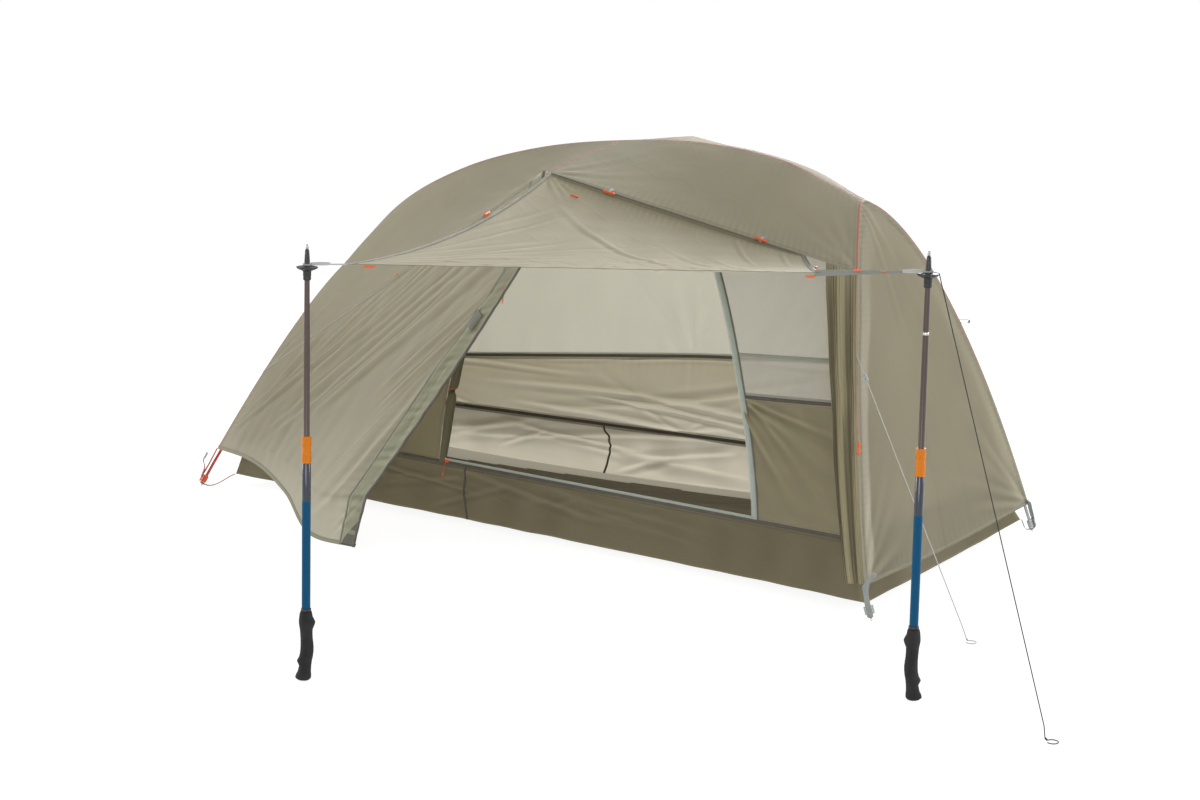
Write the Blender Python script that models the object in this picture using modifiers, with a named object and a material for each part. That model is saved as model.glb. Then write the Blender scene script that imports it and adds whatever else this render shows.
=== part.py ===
# A one-person hiking tent: hubbed pole frame, hung inner tent, and a rainfly whose door panel is
# held out as an awning by two walking poles that stand grip down.
# Metres. +X points to the head end, -Y to the door side, +Z up. The origin is on the ground
# under the middle of the floor. A rail is a line of points where pieces of cloth meet.

import math

import bmesh
import bpy
import numpy as np
from mathutils import Matrix, Vector

# General clearances and cloth
GAP = 0.0003
CLOTH = 0.001
SEAM_GAP = 0.00016
HEM_GAP = 0.0007

# Pole frame
POLE_RADIUS = 0.00435
FLY_STAND = 0.013
HEAD_HUB = (0.834, 0.0, 0.965)
FOOT_HUB = (-0.920, 0.0, 0.700)
PEAK = (0.071, 0.0, 1.093)
HEAD_TIP = (1.152, 0.518)
FOOT_TIP = (-1.215, 0.440)
SPINE_FOOT_VIA = [(-0.74, 0.0, 0.868), (-0.49, 0.0, 0.990), (-0.22, 0.0, 1.060)]
SPINE_HEAD_VIA = [(0.335, 0.0, 1.097), (0.586, 0.0, 1.062)]
HEAD_LEG_CURVE = (1.6, 1.1)
FOOT_LEG_CURVE = (1.25, 1.0)
FRONT_LEG_PULL = 0.037
REAR_LEG_PULL = 0.012
BROW_FRONT = (0.100, -0.400, 1.035)
BROW_REAR = (0.076, 0.385, 1.083)
SOCKET_WALL = 0.0018
SOCKET_LENGTH = 0.026
STRAIGHT_END = 0.045
HUB_RADIUS = 0.0066
SWIVEL_RADIUS = 0.0100
CLIP_WIDTH = 0.010

# Rainfly
HEAD_CORNER_HEIGHT = 0.082
FOOT_CORNER_HEIGHT = 0.115
HEAD_SEAM_HEIGHT = 0.800
FOOT_SEAM_HEIGHT = 0.352
REAR_HEM_MIDDLE = (0.060, 0.498, 0.240)
REAR_DROP_VIA = [(0.074, 0.425, 0.750), (0.066, 0.468, 0.420)]
REAR_HEM_FOOT_VIA = (-0.560, 0.460, 0.172)
REAR_HEM_HEAD_VIA = (0.620, 0.500, 0.225)
HEAD_HEM_MIDDLE = (1.105, 0.0, 0.060)
FOOT_HEM_MIDDLE = (-1.165, 0.0, 0.080)
ZIP_KNEE = (0.063, -0.470, 0.790)
ZIP_FOOT = (-0.360, -0.630, 0.125)
FLAP_CORNER = (-0.330, -0.712, 0.004)
STAKE_POINT = (-0.510, -0.687, 0.002)
LEFT_HEM_VIA = [(-0.980, -0.445, 0.115), (-0.720, -0.570, 0.075)]
LEFT_FOLD_DEPTH = 0.007
LEFT_FOLD_COUNT = 11

# Awning, the door panel held out on the walking poles
BASKET_HEIGHT = 0.925
AWNING_LEFT = (0.374, -1.518, BASKET_HEIGHT)
AWNING_RIGHT = (1.265, -1.045, BASKET_HEIGHT - 0.004)
AWNING_SEAM_SHARE = 0.700
AWNING_SAG = 0.038
AWNING_EDGE_SAG = 0.020
AWNING_RIGHT_SAG = 0.005
AWNING_HANG = 0.0014
AWNING_FOLD_DEPTH = 0.008
STRAP_WIDTH = 0.018
STRAP_THICKNESS = 0.0012
STRAP_RING_WALL = 0.0025
STRAP_RING_HEIGHT = 0.004

# Door panel of the head side, gathered and tied back along the front head leg
GATHER_TOP = 0.085
GATHER_BOTTOM = 0.050
GATHER_FOLD_DEPTH = 0.008
GATHER_FOLD_COUNT = 2.5

# Inner tent
FLOOR_HEAD = (1.115, 0.485)
FLOOR_FOOT = (-1.125, 0.355)
FLOOR_DRAW_IN = 0.060
FLOOR_END_DRAW_IN = 0.020
FLOOR_EDGE_LIFT = 0.020
FLOOR_CORNER_LIFT = 0.016
FLOOR_FLAT_SHARE = 0.66
TUB_HEAD = (1.065, 0.415, 0.167)
TUB_FOOT = (-1.095, 0.305, 0.185)
INNER_DROP = 0.046
INNER_HEAD_HUB = (0.790, 0.0, 0.925)
INNER_FOOT_HUB = (-0.865, 0.0, 0.690)
INNER_LEG_STAND = 0.048
INNER_BROW_FRONT = (0.092, -0.335, 0.985)
INNER_BROW_REAR = (0.076, 0.325, 1.020)
INNER_SIDE_BULGE = 0.045
INNER_SIDE_RISE = 0.030
DOOR_MIDDLE = 0.585
DOOR_HALF_WIDTH = 0.2545
DOOR_HEIGHT = 0.880
DOOR_SHOULDER = 0.667
DOOR_POWER = 1.9
LOW_WALL_SHARE = 0.3333
REAR_WALL_SHARE = 0.1667
DOOR_ROLL_RADIUS = 0.017
DOOR_ROLL_TOP = 0.56

# Sliders, toggles, guylines
SLIDER_SIZE = (0.015, 0.006, 0.009)
PULL_RADIUS = 0.0016
PULL_LENGTH = 0.045
DOOR_SLIDER_START = 0.030
VESTIBULE_SLIDER_START = 0.075
TOGGLE_LENGTH = 0.030
TOGGLE_RADIUS = 0.0030
TOGGLE_DROP = 0.011
TOGGLE_STEM_RADIUS = 0.0014
SEAM_TOGGLE_LIFT = 0.0030
SEAM_TOGGLE_FALL = -5.0
LEG_TOGGLE_FALL = 55.0
SEAM_TOGGLES = (0.215, 0.700)
LEG_TOGGLE_HEIGHT = 0.405
CORD_RADIUS = 0.0012
GUY_RING_RADIUS = 0.012
HEAD_GUY_HEIGHT = 0.605
HEAD_GUY_STAKE = (1.400, -0.520)
POLE_GUY_STAKE = (1.800, -1.030)
TENSIONER_PLACE = 0.060
TENSIONER_SIZE = (0.022, 0.010, 0.006)

# Corner fittings
TIP_BALL_RADIUS = 0.0035
TIP_NECK_RADIUS = 0.0026
TIP_FLANGE_RADIUS = 0.0068
TIP_SLEEVE_RADIUS = 0.0058
TIP_SOCKET_FLOOR = 0.0160
TIP_LENGTH = 0.034
BUCKLE_WIDTH = 0.024
BUCKLE_HEIGHT = 0.020
BUCKLE_PLATE = 0.004
WEBBING_WIDTH = 0.013
WEBBING_THICKNESS = 0.0012

# Walking poles: foot and top points, then heights along the pole
LEFT_POLE_FOOT = (0.296, -1.598, 0.0004)
LEFT_POLE_TOP = (0.330, -1.590, 0.973)
RIGHT_POLE_FOOT = (1.464, -0.964, 0.0004)
RIGHT_POLE_TOP = (1.472, -0.961, 0.973)
GRIP_HEIGHT = 0.159
TUBE_TOP = 0.4955
COLLAR_TOP = 0.556
NECK_BOTTOM = BASKET_HEIGHT - 0.029
FERRULE_TOP = BASKET_HEIGHT + 0.036
POLE_END = BASKET_HEIGHT + 0.048
SHAFT_RADIUS = 0.0066
SHAFT_END_RADIUS = 0.0057
SHAFT_BOTTOM = 0.425
TUBE_RADIUS = 0.0096
TUBE_WALL = 0.0012
TUBE_BOTTOM = 0.020
COLLAR_RADIUS = 0.0108
BASKET_RADIUS = 0.0235
FERRULE_RADIUS = 0.0065
GRIP_HALF_DEPTH = 0.0150
POLE_SIDES = 16

# Numbers of cells along the shared rails
SPINE_FOOT_CELLS = 12
SPINE_HEAD_CELLS = 10
BROW_CELLS = 4
LEG_CELLS = 10
INNER_RIDGE_CELLS = 10
INNER_LEG_CELLS = 6

# Colours, with roughness and metallic value
COLOURS = {
    "fly_cloth": ((0.40, 0.38, 0.31), 0.55, 0.0),
    "awning_cloth": ((0.50, 0.48, 0.39), 0.55, 0.0),
    "floor_cloth": ((0.17, 0.15, 0.10), 0.60, 0.0),
    "wall_cloth": ((0.50, 0.46, 0.36), 0.65, 0.0),
    "mesh_cloth": ((0.62, 0.59, 0.51), 0.75, 0.0),
    "red_pole": ((0.50, 0.07, 0.05), 0.28, 0.9),
    "grey_pole": ((0.30, 0.30, 0.29), 0.32, 0.9),
    "bare_metal": ((0.66, 0.67, 0.68), 0.25, 1.0),
    "grey_plastic": ((0.42, 0.44, 0.44), 0.45, 0.0),
    "orange_plastic": ((0.85, 0.13, 0.02), 0.40, 0.0),
    "red_webbing": ((0.62, 0.07, 0.03), 0.80, 0.0),
    "grey_webbing": ((0.52, 0.55, 0.54), 0.80, 0.0),
    "black_plastic": ((0.012, 0.013, 0.013), 0.45, 0.0),
    "brown_shaft": ((0.07, 0.05, 0.045), 0.35, 0.6),
    "blue_tube": ((0.01, 0.12, 0.28), 0.30, 0.5),
    "collar_plastic": ((0.85, 0.27, 0.01), 0.25, 0.0),
    "grip_foam": ((0.012, 0.012, 0.011), 0.90, 0.0),
    "white_cord": ((0.62, 0.66, 0.64), 0.80, 0.0),
    "black_cord": ((0.02, 0.02, 0.02), 0.80, 0.0),
}

for old in list(bpy.data.objects):
    bpy.data.objects.remove(old, do_unlink=True)

tent = bpy.data.collections.new("tent")
bpy.context.scene.collection.children.link(tent)
cutters = bpy.data.collections.new("cutters")
bpy.context.scene.collection.children.link(cutters)


def material(name):
    """The named colour as a Principled material, made once."""
    if name in bpy.data.materials:
        return bpy.data.materials[name]
    colour, roughness, metallic = COLOURS[name]
    made = bpy.data.materials.new(name)
    made.use_nodes = True
    shader = made.node_tree.nodes["Principled BSDF"]
    shader.inputs["Base Color"].default_value = (*colour, 1.0)
    shader.inputs["Roughness"].default_value = roughness
    shader.inputs["Metallic"].default_value = metallic
    return made


# Points and rails

def unit(vector):
    vector = np.asarray(vector, float)
    return vector / np.linalg.norm(vector)


def evenly(points, cells):
    """A line of points sampled again at even distances along it."""
    points = np.asarray(points, float)
    steps = np.linalg.norm(np.diff(points, axis=0), axis=1)
    along = np.concatenate([[0.0], np.cumsum(steps)])
    wanted = np.linspace(0.0, along[-1], cells + 1)
    return np.stack([np.interp(wanted, along, points[:, axis]) for axis in range(3)], axis=1)


def smooth_line(points, cells):
    """Even points along a smooth curve through the given points."""
    points = np.asarray(points, float)
    knots = np.concatenate([[0.0], np.cumsum(np.linalg.norm(np.diff(points, axis=0), axis=1))])
    slopes = np.gradient(points, knots, axis=0)
    dense = []
    for index in range(len(points) - 1):
        span = knots[index + 1] - knots[index]
        for part in np.linspace(0.0, 1.0, 24, endpoint=index == len(points) - 2):
            start = (1 + 2 * part) * (1 - part) ** 2 * points[index]
            end = part ** 2 * (3 - 2 * part) * points[index + 1]
            leave = part * (1 - part) ** 2 * span * slopes[index]
            arrive = part ** 2 * (part - 1) * span * slopes[index + 1]
            dense.append(start + end + leave + arrive)
    return evenly(dense, cells)


def straight(start, end, cells):
    return evenly([start, end], cells)


def joined(first, second):
    """Two rails end to end, with the shared point once."""
    return np.vstack([first, second[1:]])


def leg_line(hub, tip, side, curve, pull):
    """The fly's line down a leg, dense, from the hub to the ground."""
    share = np.sin(np.linspace(0.0, 1.0, 400) * math.pi / 2)
    height = hub[2] * (1.0 - share ** curve[0]) ** (1.0 / curve[1])
    x = hub[0] + (tip[0] - hub[0]) * share
    x = x - pull * np.sin(np.pi * np.clip(height / hub[2], 0.0, 1.0)) ** 0.4
    return np.stack([x, side * tip[1] * share, height], axis=1)


def between_heights(line, high, low, cells):
    """The part of a falling line between two heights, sampled evenly."""
    heights = line[:, 2][::-1]

    def at(height):
        return [np.interp(height, heights, line[:, axis][::-1]) for axis in range(3)]

    inside = (line[:, 2] < high) & (line[:, 2] > low)
    return evenly(np.vstack([at(high), line[inside], at(low)]), cells)


def shifted_in(line, distance, core):
    """The line moved square to itself towards a core point."""
    moved = []
    slopes = np.gradient(line, axis=0)
    for point, slope in zip(line, slopes):
        along = unit(slope)
        aim = np.asarray(core(point), float) - point
        aim = aim - along * aim.dot(along)
        moved.append(point + unit(aim) * distance)
    return np.array(moved)


def patch(near, far, left, right):
    """A surface grid loft between four rails: near and far run across, left and right run down."""
    across = np.linspace(0.0, 1.0, len(near))[None, :, None]
    down = np.linspace(0.0, 1.0, len(left))[:, None, None]
    rows = (1 - down) * near[None] + down * far[None]
    columns = (1 - across) * left[:, None] + across * right[:, None]
    corners = (1 - down) * ((1 - across) * near[0] + across * near[-1])
    corners = corners + down * ((1 - across) * far[0] + across * far[-1])
    return rows + columns - corners


def pulled_back(grid, near=SEAM_GAP, far=SEAM_GAP, left=SEAM_GAP, right=SEAM_GAP):
    """The grid's edges moved inwards, each by its own seam gap."""
    grid = grid.copy()
    for edge, inner, gap in ((0, 1, near), (-1, -2, far)):
        step = grid[inner] - grid[edge]
        grid[edge] += step / np.linalg.norm(step, axis=1, keepdims=True) * gap
    for edge, inner, gap in ((0, 1, left), (-1, -2, right)):
        step = grid[:, inner] - grid[:, edge]
        grid[:, edge] += step / np.linalg.norm(step, axis=1, keepdims=True) * gap
    return grid


def refined(grid, rows, columns):
    """The grid sampled with more rows and columns, on the same surface."""
    old_rows = np.linspace(0.0, 1.0, grid.shape[0])
    old_columns = np.linspace(0.0, 1.0, grid.shape[1])
    new_rows = np.linspace(0.0, 1.0, rows + 1)
    new_columns = np.linspace(0.0, 1.0, columns + 1)
    tall = np.stack([[np.interp(new_rows, old_rows, grid[:, column, axis]) for axis in range(3)]
                     for column in range(grid.shape[1])])
    wide = np.stack([[np.interp(new_columns, old_columns, tall[:, axis, row]) for axis in range(3)]
                     for row in range(rows + 1)])
    return wide.transpose(0, 2, 1)


def square_to(grid):
    """Unit directions square to the grid's surface."""
    down = np.gradient(grid, axis=0)
    across = np.gradient(grid, axis=1)
    square = np.cross(across, down)
    return square / np.maximum(np.linalg.norm(square, axis=2, keepdims=True), 1e-12)


# Objects

def link(name, mesh, colour):
    made = bpy.data.objects.new(name, mesh)
    made.data.materials.clear()
    made.data.materials.append(material(colour))
    tent.objects.link(made)
    return made


def cloth(name, grid, colour, outside=None, thickness=CLOTH):
    """A cloth panel: a grid laid on the given points and thickened to its outer side.
    outside is a function that gives a direction pointing out at a point."""
    rows, columns = grid.shape[0] - 1, grid.shape[1] - 1
    form = bmesh.new()
    bmesh.ops.create_grid(form, x_segments=columns, y_segments=rows, size=0.5)
    for vertex in form.verts:
        column = round((vertex.co.x + 0.5) * columns)
        row = round((vertex.co.y + 0.5) * rows)
        vertex.co = Vector(grid[row, column])
    form.normal_update()
    outside = outside or away_from_core
    turn = sum(face.normal.dot(outside(face.calc_center_median())) * face.calc_area() for face in form.faces)
    if turn < 0:
        bmesh.ops.reverse_faces(form, faces=form.faces)
    mesh = bpy.data.meshes.new(name)
    form.to_mesh(mesh)
    form.free()
    made = link(name, mesh, colour)
    shell = made.modifiers.new("cloth", "SOLIDIFY")
    shell.thickness = thickness
    shell.offset = 1.0
    return made


def away_from_core(point):
    return Vector((point.x * 0.4, point.y, point.z - 0.25))


def upwards(point):
    return Vector((0.0, 0.0, 1.0))


def rod(name, points, radius, colour, resolution=2):
    """A round rod or cord along the points."""
    path = bpy.data.curves.new(name, "CURVE")
    path.dimensions = "3D"
    path.bevel_depth = radius
    path.bevel_resolution = resolution
    path.use_fill_caps = True
    spline = path.splines.new("POLY")
    spline.points.add(len(points) - 1)
    for place, point in zip(spline.points, points):
        place.co = (*point, 1.0)
    return link(name, path, colour)


def turned(name, profile, colour, steps=24, frame=Matrix.Identity(4), closed=False):
    """A turned shape. The profile runs from the axis, up any bore and down the outer side."""
    mesh = bpy.data.meshes.new(name)
    edges = [(index, index + 1) for index in range(len(profile) - 1)]
    if closed:
        edges.append((len(profile) - 1, 0))
    mesh.from_pydata([(radius, 0.0, height) for radius, height in profile], edges, [])
    made = link(name, mesh, colour)
    made.matrix_world = frame
    screw = made.modifiers.new("turn", "SCREW")
    screw.axis = "Z"
    screw.steps = steps
    screw.render_steps = steps
    screw.use_merge_vertices = True
    screw.merge_threshold = 0.00001
    screw.use_smooth_shade = True
    return made


def frame_along(origin, upward, outward):
    """A frame at origin whose z runs along upward and whose x leans to outward."""
    up = Vector(upward).normalized()
    side = up.cross(Vector(outward)).normalized()
    out = side.cross(up)
    turn = Matrix((out, side, up)).transposed().to_4x4()
    return Matrix.Translation(Vector(origin)) @ turn


def cylinder(name, radius, height, frame, sides=20):
    """A cylinder whose base is at the frame's origin, as a tool for joining or cutting."""
    form = bmesh.new()
    bmesh.ops.create_cone(form, cap_ends=True, segments=sides, radius1=radius, radius2=radius,
                          depth=height, matrix=Matrix.Translation((0, 0, height / 2)))
    return tool(name, form, frame)


def box(name, size, centre, frame, bevel=0.0):
    """A box, with its edges rounded where a bevel is given, as a tool."""
    form = bmesh.new()
    bmesh.ops.create_cube(form, size=1.0)
    bmesh.ops.scale(form, vec=Vector(size), verts=form.verts)
    if bevel > 0.0:
        bmesh.ops.bevel(form, geom=form.edges[:], offset=bevel, segments=2, profile=0.5, affect="EDGES")
    bmesh.ops.translate(form, vec=Vector(centre), verts=form.verts)
    return tool(name, form, frame)


def ball(name, radius, frame, sides=16):
    form = bmesh.new()
    bmesh.ops.create_uvsphere(form, u_segments=sides, v_segments=sides // 2, radius=radius)
    return tool(name, form, frame)


def tool(name, form, frame):
    mesh = bpy.data.meshes.new(name)
    form.to_mesh(mesh)
    form.free()
    made = bpy.data.objects.new(name, mesh)
    made.matrix_world = frame
    made.hide_render = True
    made.display_type = "WIRE"
    cutters.objects.link(made)
    return made


def solid_from(name, start, colour, add=(), cut=()):
    """A part made from a tool, joined with others and then cut."""
    made = bpy.data.objects.new(name, start.data)
    made.matrix_world = start.matrix_world.copy()
    made.data.materials.clear()
    made.data.materials.append(material(colour))
    tent.objects.link(made)
    for operation, others in (("UNION", add), ("DIFFERENCE", cut)):
        for other in others:
            step = made.modifiers.new(operation.lower(), "BOOLEAN")
            step.operation = operation
            step.solver = "EXACT"
            step.object = other
    return made


def lofted(rings):
    """A closed form through rings of points, each ring with the same count."""
    form = bmesh.new()
    rows = [[form.verts.new(Vector(point)) for point in ring] for ring in rings]
    for low, high in zip(rows, rows[1:]):
        for index in range(len(low)):
            after = (index + 1) % len(low)
            form.faces.new((low[index], low[after], high[after], high[index]))
    form.faces.new(rows[0])
    form.faces.new(rows[-1])
    bmesh.ops.recalc_face_normals(form, faces=form.faces)
    return form


def strip(name, centres, side, width, thickness, frame=Matrix.Identity(4)):
    """A flat strap along the centres, lying square to its width's direction, as a tool."""
    points = [Vector(point) for point in centres]
    side = Vector(side).normalized()
    rings = []
    for index, point in enumerate(points):
        before, after = points[max(index - 1, 0)], points[min(index + 1, len(points) - 1)]
        out = (after - before).cross(side).normalized() * (thickness / 2)
        reach = side * (width / 2)
        rings.append([point - reach - out, point + reach - out, point + reach + out, point - reach + out])
    return tool(name, lofted(rings), frame)


# Rails of the fly

def spine_rails():
    foot = smooth_line([FOOT_HUB, *SPINE_FOOT_VIA, PEAK, SPINE_HEAD_VIA[0]], 400)
    foot = foot[foot[:, 0] <= PEAK[0]]
    head = smooth_line([SPINE_FOOT_VIA[-1], PEAK, *SPINE_HEAD_VIA, HEAD_HUB], 400)
    head = head[head[:, 0] >= PEAK[0]]
    return (evenly(np.vstack([foot, [PEAK]])[::-1], SPINE_FOOT_CELLS),
            evenly(np.vstack([[PEAK], head]), SPINE_HEAD_CELLS))


spine_foot, spine_head = spine_rails()
LEGS = {
    "head_front": (HEAD_HUB, HEAD_TIP, -1, HEAD_LEG_CURVE, FRONT_LEG_PULL),
    "head_rear": (HEAD_HUB, HEAD_TIP, 1, HEAD_LEG_CURVE, REAR_LEG_PULL),
    "foot_front": (FOOT_HUB, FOOT_TIP, -1, FOOT_LEG_CURVE, 0.0),
    "foot_rear": (FOOT_HUB, FOOT_TIP, 1, FOOT_LEG_CURVE, 0.0),
}
leg_lines = {}
leg_upper = {}
leg_lower = {}
for leg_name, leg_values in LEGS.items():
    at_head = leg_name.startswith("head")
    seam_height = HEAD_SEAM_HEIGHT if at_head else FOOT_SEAM_HEIGHT
    corner_height = HEAD_CORNER_HEIGHT if at_head else FOOT_CORNER_HEIGHT
    line = leg_line(*leg_values)
    leg_lines[leg_name] = line
    leg_upper[leg_name] = between_heights(line, leg_values[0][2], seam_height, BROW_CELLS)
    leg_lower[leg_name] = between_heights(line, seam_height, corner_height, LEG_CELLS)
fly_legs = {name: joined(leg_upper[name], leg_lower[name]) for name in LEGS}

brow_front = straight(PEAK, BROW_FRONT, BROW_CELLS)
brow_rear = straight(PEAK, BROW_REAR, BROW_CELLS)
head_seam = straight(BROW_FRONT, leg_lower["head_front"][0], SPINE_HEAD_CELLS)
foot_seam = straight(BROW_FRONT, leg_lower["foot_front"][0], SPINE_FOOT_CELLS)
zip_edge = joined(straight(BROW_FRONT, ZIP_KNEE, 3), joined(straight(ZIP_KNEE, ZIP_FOOT, LEG_CELLS - 4),
                                                            straight(ZIP_FOOT, FLAP_CORNER, 1)))
left_hem = smooth_line([fly_legs["foot_front"][-1], *LEFT_HEM_VIA, STAKE_POINT, FLAP_CORNER], SPINE_FOOT_CELLS)
rear_drop = smooth_line([BROW_REAR, *REAR_DROP_VIA, REAR_HEM_MIDDLE], LEG_CELLS)
rear_middle = joined(brow_rear, rear_drop)
rear_hem_foot = smooth_line([REAR_HEM_MIDDLE, REAR_HEM_FOOT_VIA, fly_legs["foot_rear"][-1]], SPINE_FOOT_CELLS)
rear_hem_head = smooth_line([REAR_HEM_MIDDLE, REAR_HEM_HEAD_VIA, fly_legs["head_rear"][-1]], SPINE_HEAD_CELLS)


# Frame

def hub(name, centre, directions):
    """A moulded hub: a ball with a blind socket for each pole."""
    arms = []
    bores = []
    for index, direction in enumerate(directions):
        frame = frame_along(centre, direction, (0, 1, 0.3))
        arms.append(cylinder(f"{name}_arm_{index}", POLE_RADIUS + GAP + SOCKET_WALL, SOCKET_LENGTH, frame, 16))
        start = Matrix.Translation((0, 0, HUB_RADIUS + GAP))
        bores.append(cylinder(f"{name}_bore_{index}", POLE_RADIUS + GAP, SOCKET_LENGTH, frame @ start, 16))
    core = ball(f"{name}_core", HUB_RADIUS, Matrix.Translation(Vector(centre)))
    return solid_from(name, core, "grey_plastic", add=arms, cut=bores)


def from_hub(line, centre):
    """The line with a straight start that stands in the hub's socket."""
    away = np.linalg.norm(line - np.asarray(centre), axis=1)
    kept = line[away > STRAIGHT_END]
    start = centre + unit(kept[0] - centre) * (HUB_RADIUS + 2 * GAP)
    return start, kept


def below(point):
    return (point[0], point[1], point[2] - 1.0)


def pole_frame():
    """Spine, legs, brow pole, hubs and swivel. Returns each leg's tip frame."""
    spine_line = np.vstack([spine_foot[::-1], spine_head[1:]])
    spine = shifted_in(smooth_line(spine_line, 60), FLY_STAND, below)
    head_centre = spine[-1]
    foot_centre = spine[0]
    foot_start, kept = from_hub(spine, foot_centre)
    head_start, kept = from_hub(kept[::-1], head_centre)
    kept = kept[::-1]
    clear = SWIVEL_RADIUS * 1.6
    foot_run = evenly(kept[kept[:, 0] < PEAK[0] - clear], 15)
    head_run = evenly(kept[kept[:, 0] > PEAK[0] + clear], 12)
    spine = np.vstack([foot_start, foot_run, head_run, head_start])
    rod("spine_pole", spine, POLE_RADIUS, "red_pole")

    frames = {}
    starts = {"head": [], "foot": []}
    for name, line in leg_lines.items():
        end = name.split("_")[0]
        centre = head_centre if end == "head" else foot_centre
        hub_x = LEGS[name][0][0]
        moved = shifted_in(line[::8], FLY_STAND, lambda point: (hub_x, 0.0, 0.35))
        above = moved[(moved[:, 2] < centre[2] - 0.004) & (moved[:, 2] > TIP_BALL_RADIUS)]
        direction = unit(above[-5] - above[-1])
        ground = above[-1] - direction * (above[-1][2] - TIP_BALL_RADIUS) / direction[2]
        outward = np.array([ground[0] - hub_x, ground[1], 0.0])
        frames[name] = frame_along(ground, direction, outward)
        socket = ground + direction * (TIP_SOCKET_FLOOR + GAP)
        straight_top = ground + direction * (TIP_LENGTH + STRAIGHT_END)
        start, kept = from_hub(above[above[:, 2] > straight_top[2] + 0.01], centre)
        starts[end].append(start - centre)
        rod(f"{name}_leg", np.vstack([start, evenly(kept, 14), straight_top, socket]), POLE_RADIUS, "red_pole")
    hub("head_hub", head_centre, [head_start - head_centre, *starts["head"]])
    hub("foot_hub", foot_centre, [foot_start - foot_centre, *starts["foot"]])

    crossing = np.array([PEAK[0], 0.0, np.interp(PEAK[0], spine[:, 0], spine[:, 2])])
    brow_height = crossing[2] - 2 * POLE_RADIUS - 3 * GAP
    middle = np.array([PEAK[0], 0.0, brow_height])
    ends = []
    for tip in (BROW_FRONT, BROW_REAR):
        tip = np.asarray(tip, float)
        reach = unit(np.array([tip[0] - PEAK[0], tip[1], 0.0]))
        ends.append(tip - reach * 0.014 - np.array([0.0, 0.0, FLY_STAND + 0.002]))
    along = unit((ends[1] - ends[0]) * np.array([1.0, 1.0, 0.0]))
    half = along * SWIVEL_RADIUS * 1.6
    rise = np.array([0.0, 0.0, 0.008])
    front_run = smooth_line([ends[0], (ends[0] + middle) / 2 + rise, middle - half], 6)
    rear_run = smooth_line([middle + half, (ends[1] + middle) / 2 + rise, ends[1]], 6)
    rod("brow_pole", np.vstack([front_run, rear_run]), POLE_RADIUS, "red_pole")

    top = crossing[2] + POLE_RADIUS + GAP + 0.0012
    bottom = brow_height - POLE_RADIUS - GAP - 0.0012
    body = cylinder("swivel_body", SWIVEL_RADIUS, top - bottom,
                    Matrix.Translation((PEAK[0], 0.0, bottom)), 24)
    slope = unit(head_run[0] - foot_run[-1])
    spine_bore = cylinder("swivel_spine_bore", POLE_RADIUS + GAP, 0.06,
                          frame_along(crossing - slope * 0.03, slope, (0, 0, 1)), 16)
    brow_bore = cylinder("swivel_brow_bore", POLE_RADIUS + GAP, 0.06,
                         frame_along(middle - along * 0.03, along, (0, 0, 1)), 16)
    solid_from("brow_swivel", body, "grey_plastic", cut=[spine_bore, brow_bore])
    return spine, frames


def inner_clip(name, spine, inner_ridge, x):
    """A clip that snaps on the spine, with a stem down to the inner tent's ridge."""
    height = np.interp(x, spine[:, 0], spine[:, 2])
    low = np.interp(x, inner_ridge[:, 0], inner_ridge[:, 2]) + CLOTH * 1.3 + GAP
    slope = (np.interp(x + 0.01, spine[:, 0], spine[:, 2]) - np.interp(x - 0.01, spine[:, 0], spine[:, 2])) / 0.02
    along = Vector((1.0, 0.0, slope)).normalized()
    reach = (height - low) * along.x
    frame = frame_along((x, 0.0, height), along, (0, 1, 0))
    ring = cylinder(f"{name}_ring", POLE_RADIUS + GAP + 0.0016, CLIP_WIDTH,
                    frame @ Matrix.Translation((0, 0, -CLIP_WIDTH / 2)), 16)
    bore = cylinder(f"{name}_bore", POLE_RADIUS + GAP, 0.03, frame @ Matrix.Translation((0, 0, -0.015)), 16)
    top = POLE_RADIUS + GAP + 0.0008
    stem = box(f"{name}_stem", (0.003, reach - top, 0.008), (0.0, -(reach + top) / 2, 0.0), frame)
    return solid_from(name, ring, "grey_plastic", add=[stem], cut=[bore])


# Rainfly

def cut_apex(rail, length=0.028):
    """A leg rail whose first point is moved down past the hub."""
    rail = rail.copy()
    rail[0] = rail[0] + unit(rail[1] - rail[0]) * length
    return rail


def end_panel(name, front, rear, hem_middle):
    """The panel between two legs, from the hub down to a hem that is drawn in."""
    front, rear = cut_apex(front), cut_apex(rear)
    top = straight(front[0], rear[0], 6)
    hem = smooth_line([front[-1], hem_middle, rear[-1]], 6)
    return cloth(name, pulled_back(patch(top, hem, front, rear)), "fly_cloth")


def fan_folds(grid, depth, count, centre, flip=1.0):
    """Folds that spread from one corner of a panel and die out at its edges."""
    rows, columns = grid.shape[:2]
    down = np.linspace(0.0, 1.0, rows)[:, None]
    across = np.linspace(0.0, 1.0, columns)[None, :]
    turn = np.arctan2(np.abs(down - centre[1]), np.abs(across - centre[0]) + 1e-6)
    away = np.hypot(down - centre[1], across - centre[0])
    hold = (4 * across * (1 - across)) ** 0.6 * (4 * down * (1 - down)) ** 0.6
    wave = np.sin(turn * count * 2.0) * hold * np.exp(-away * 0.8)
    return grid + square_to(grid) * (flip * depth * wave)[:, :, None]


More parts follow.
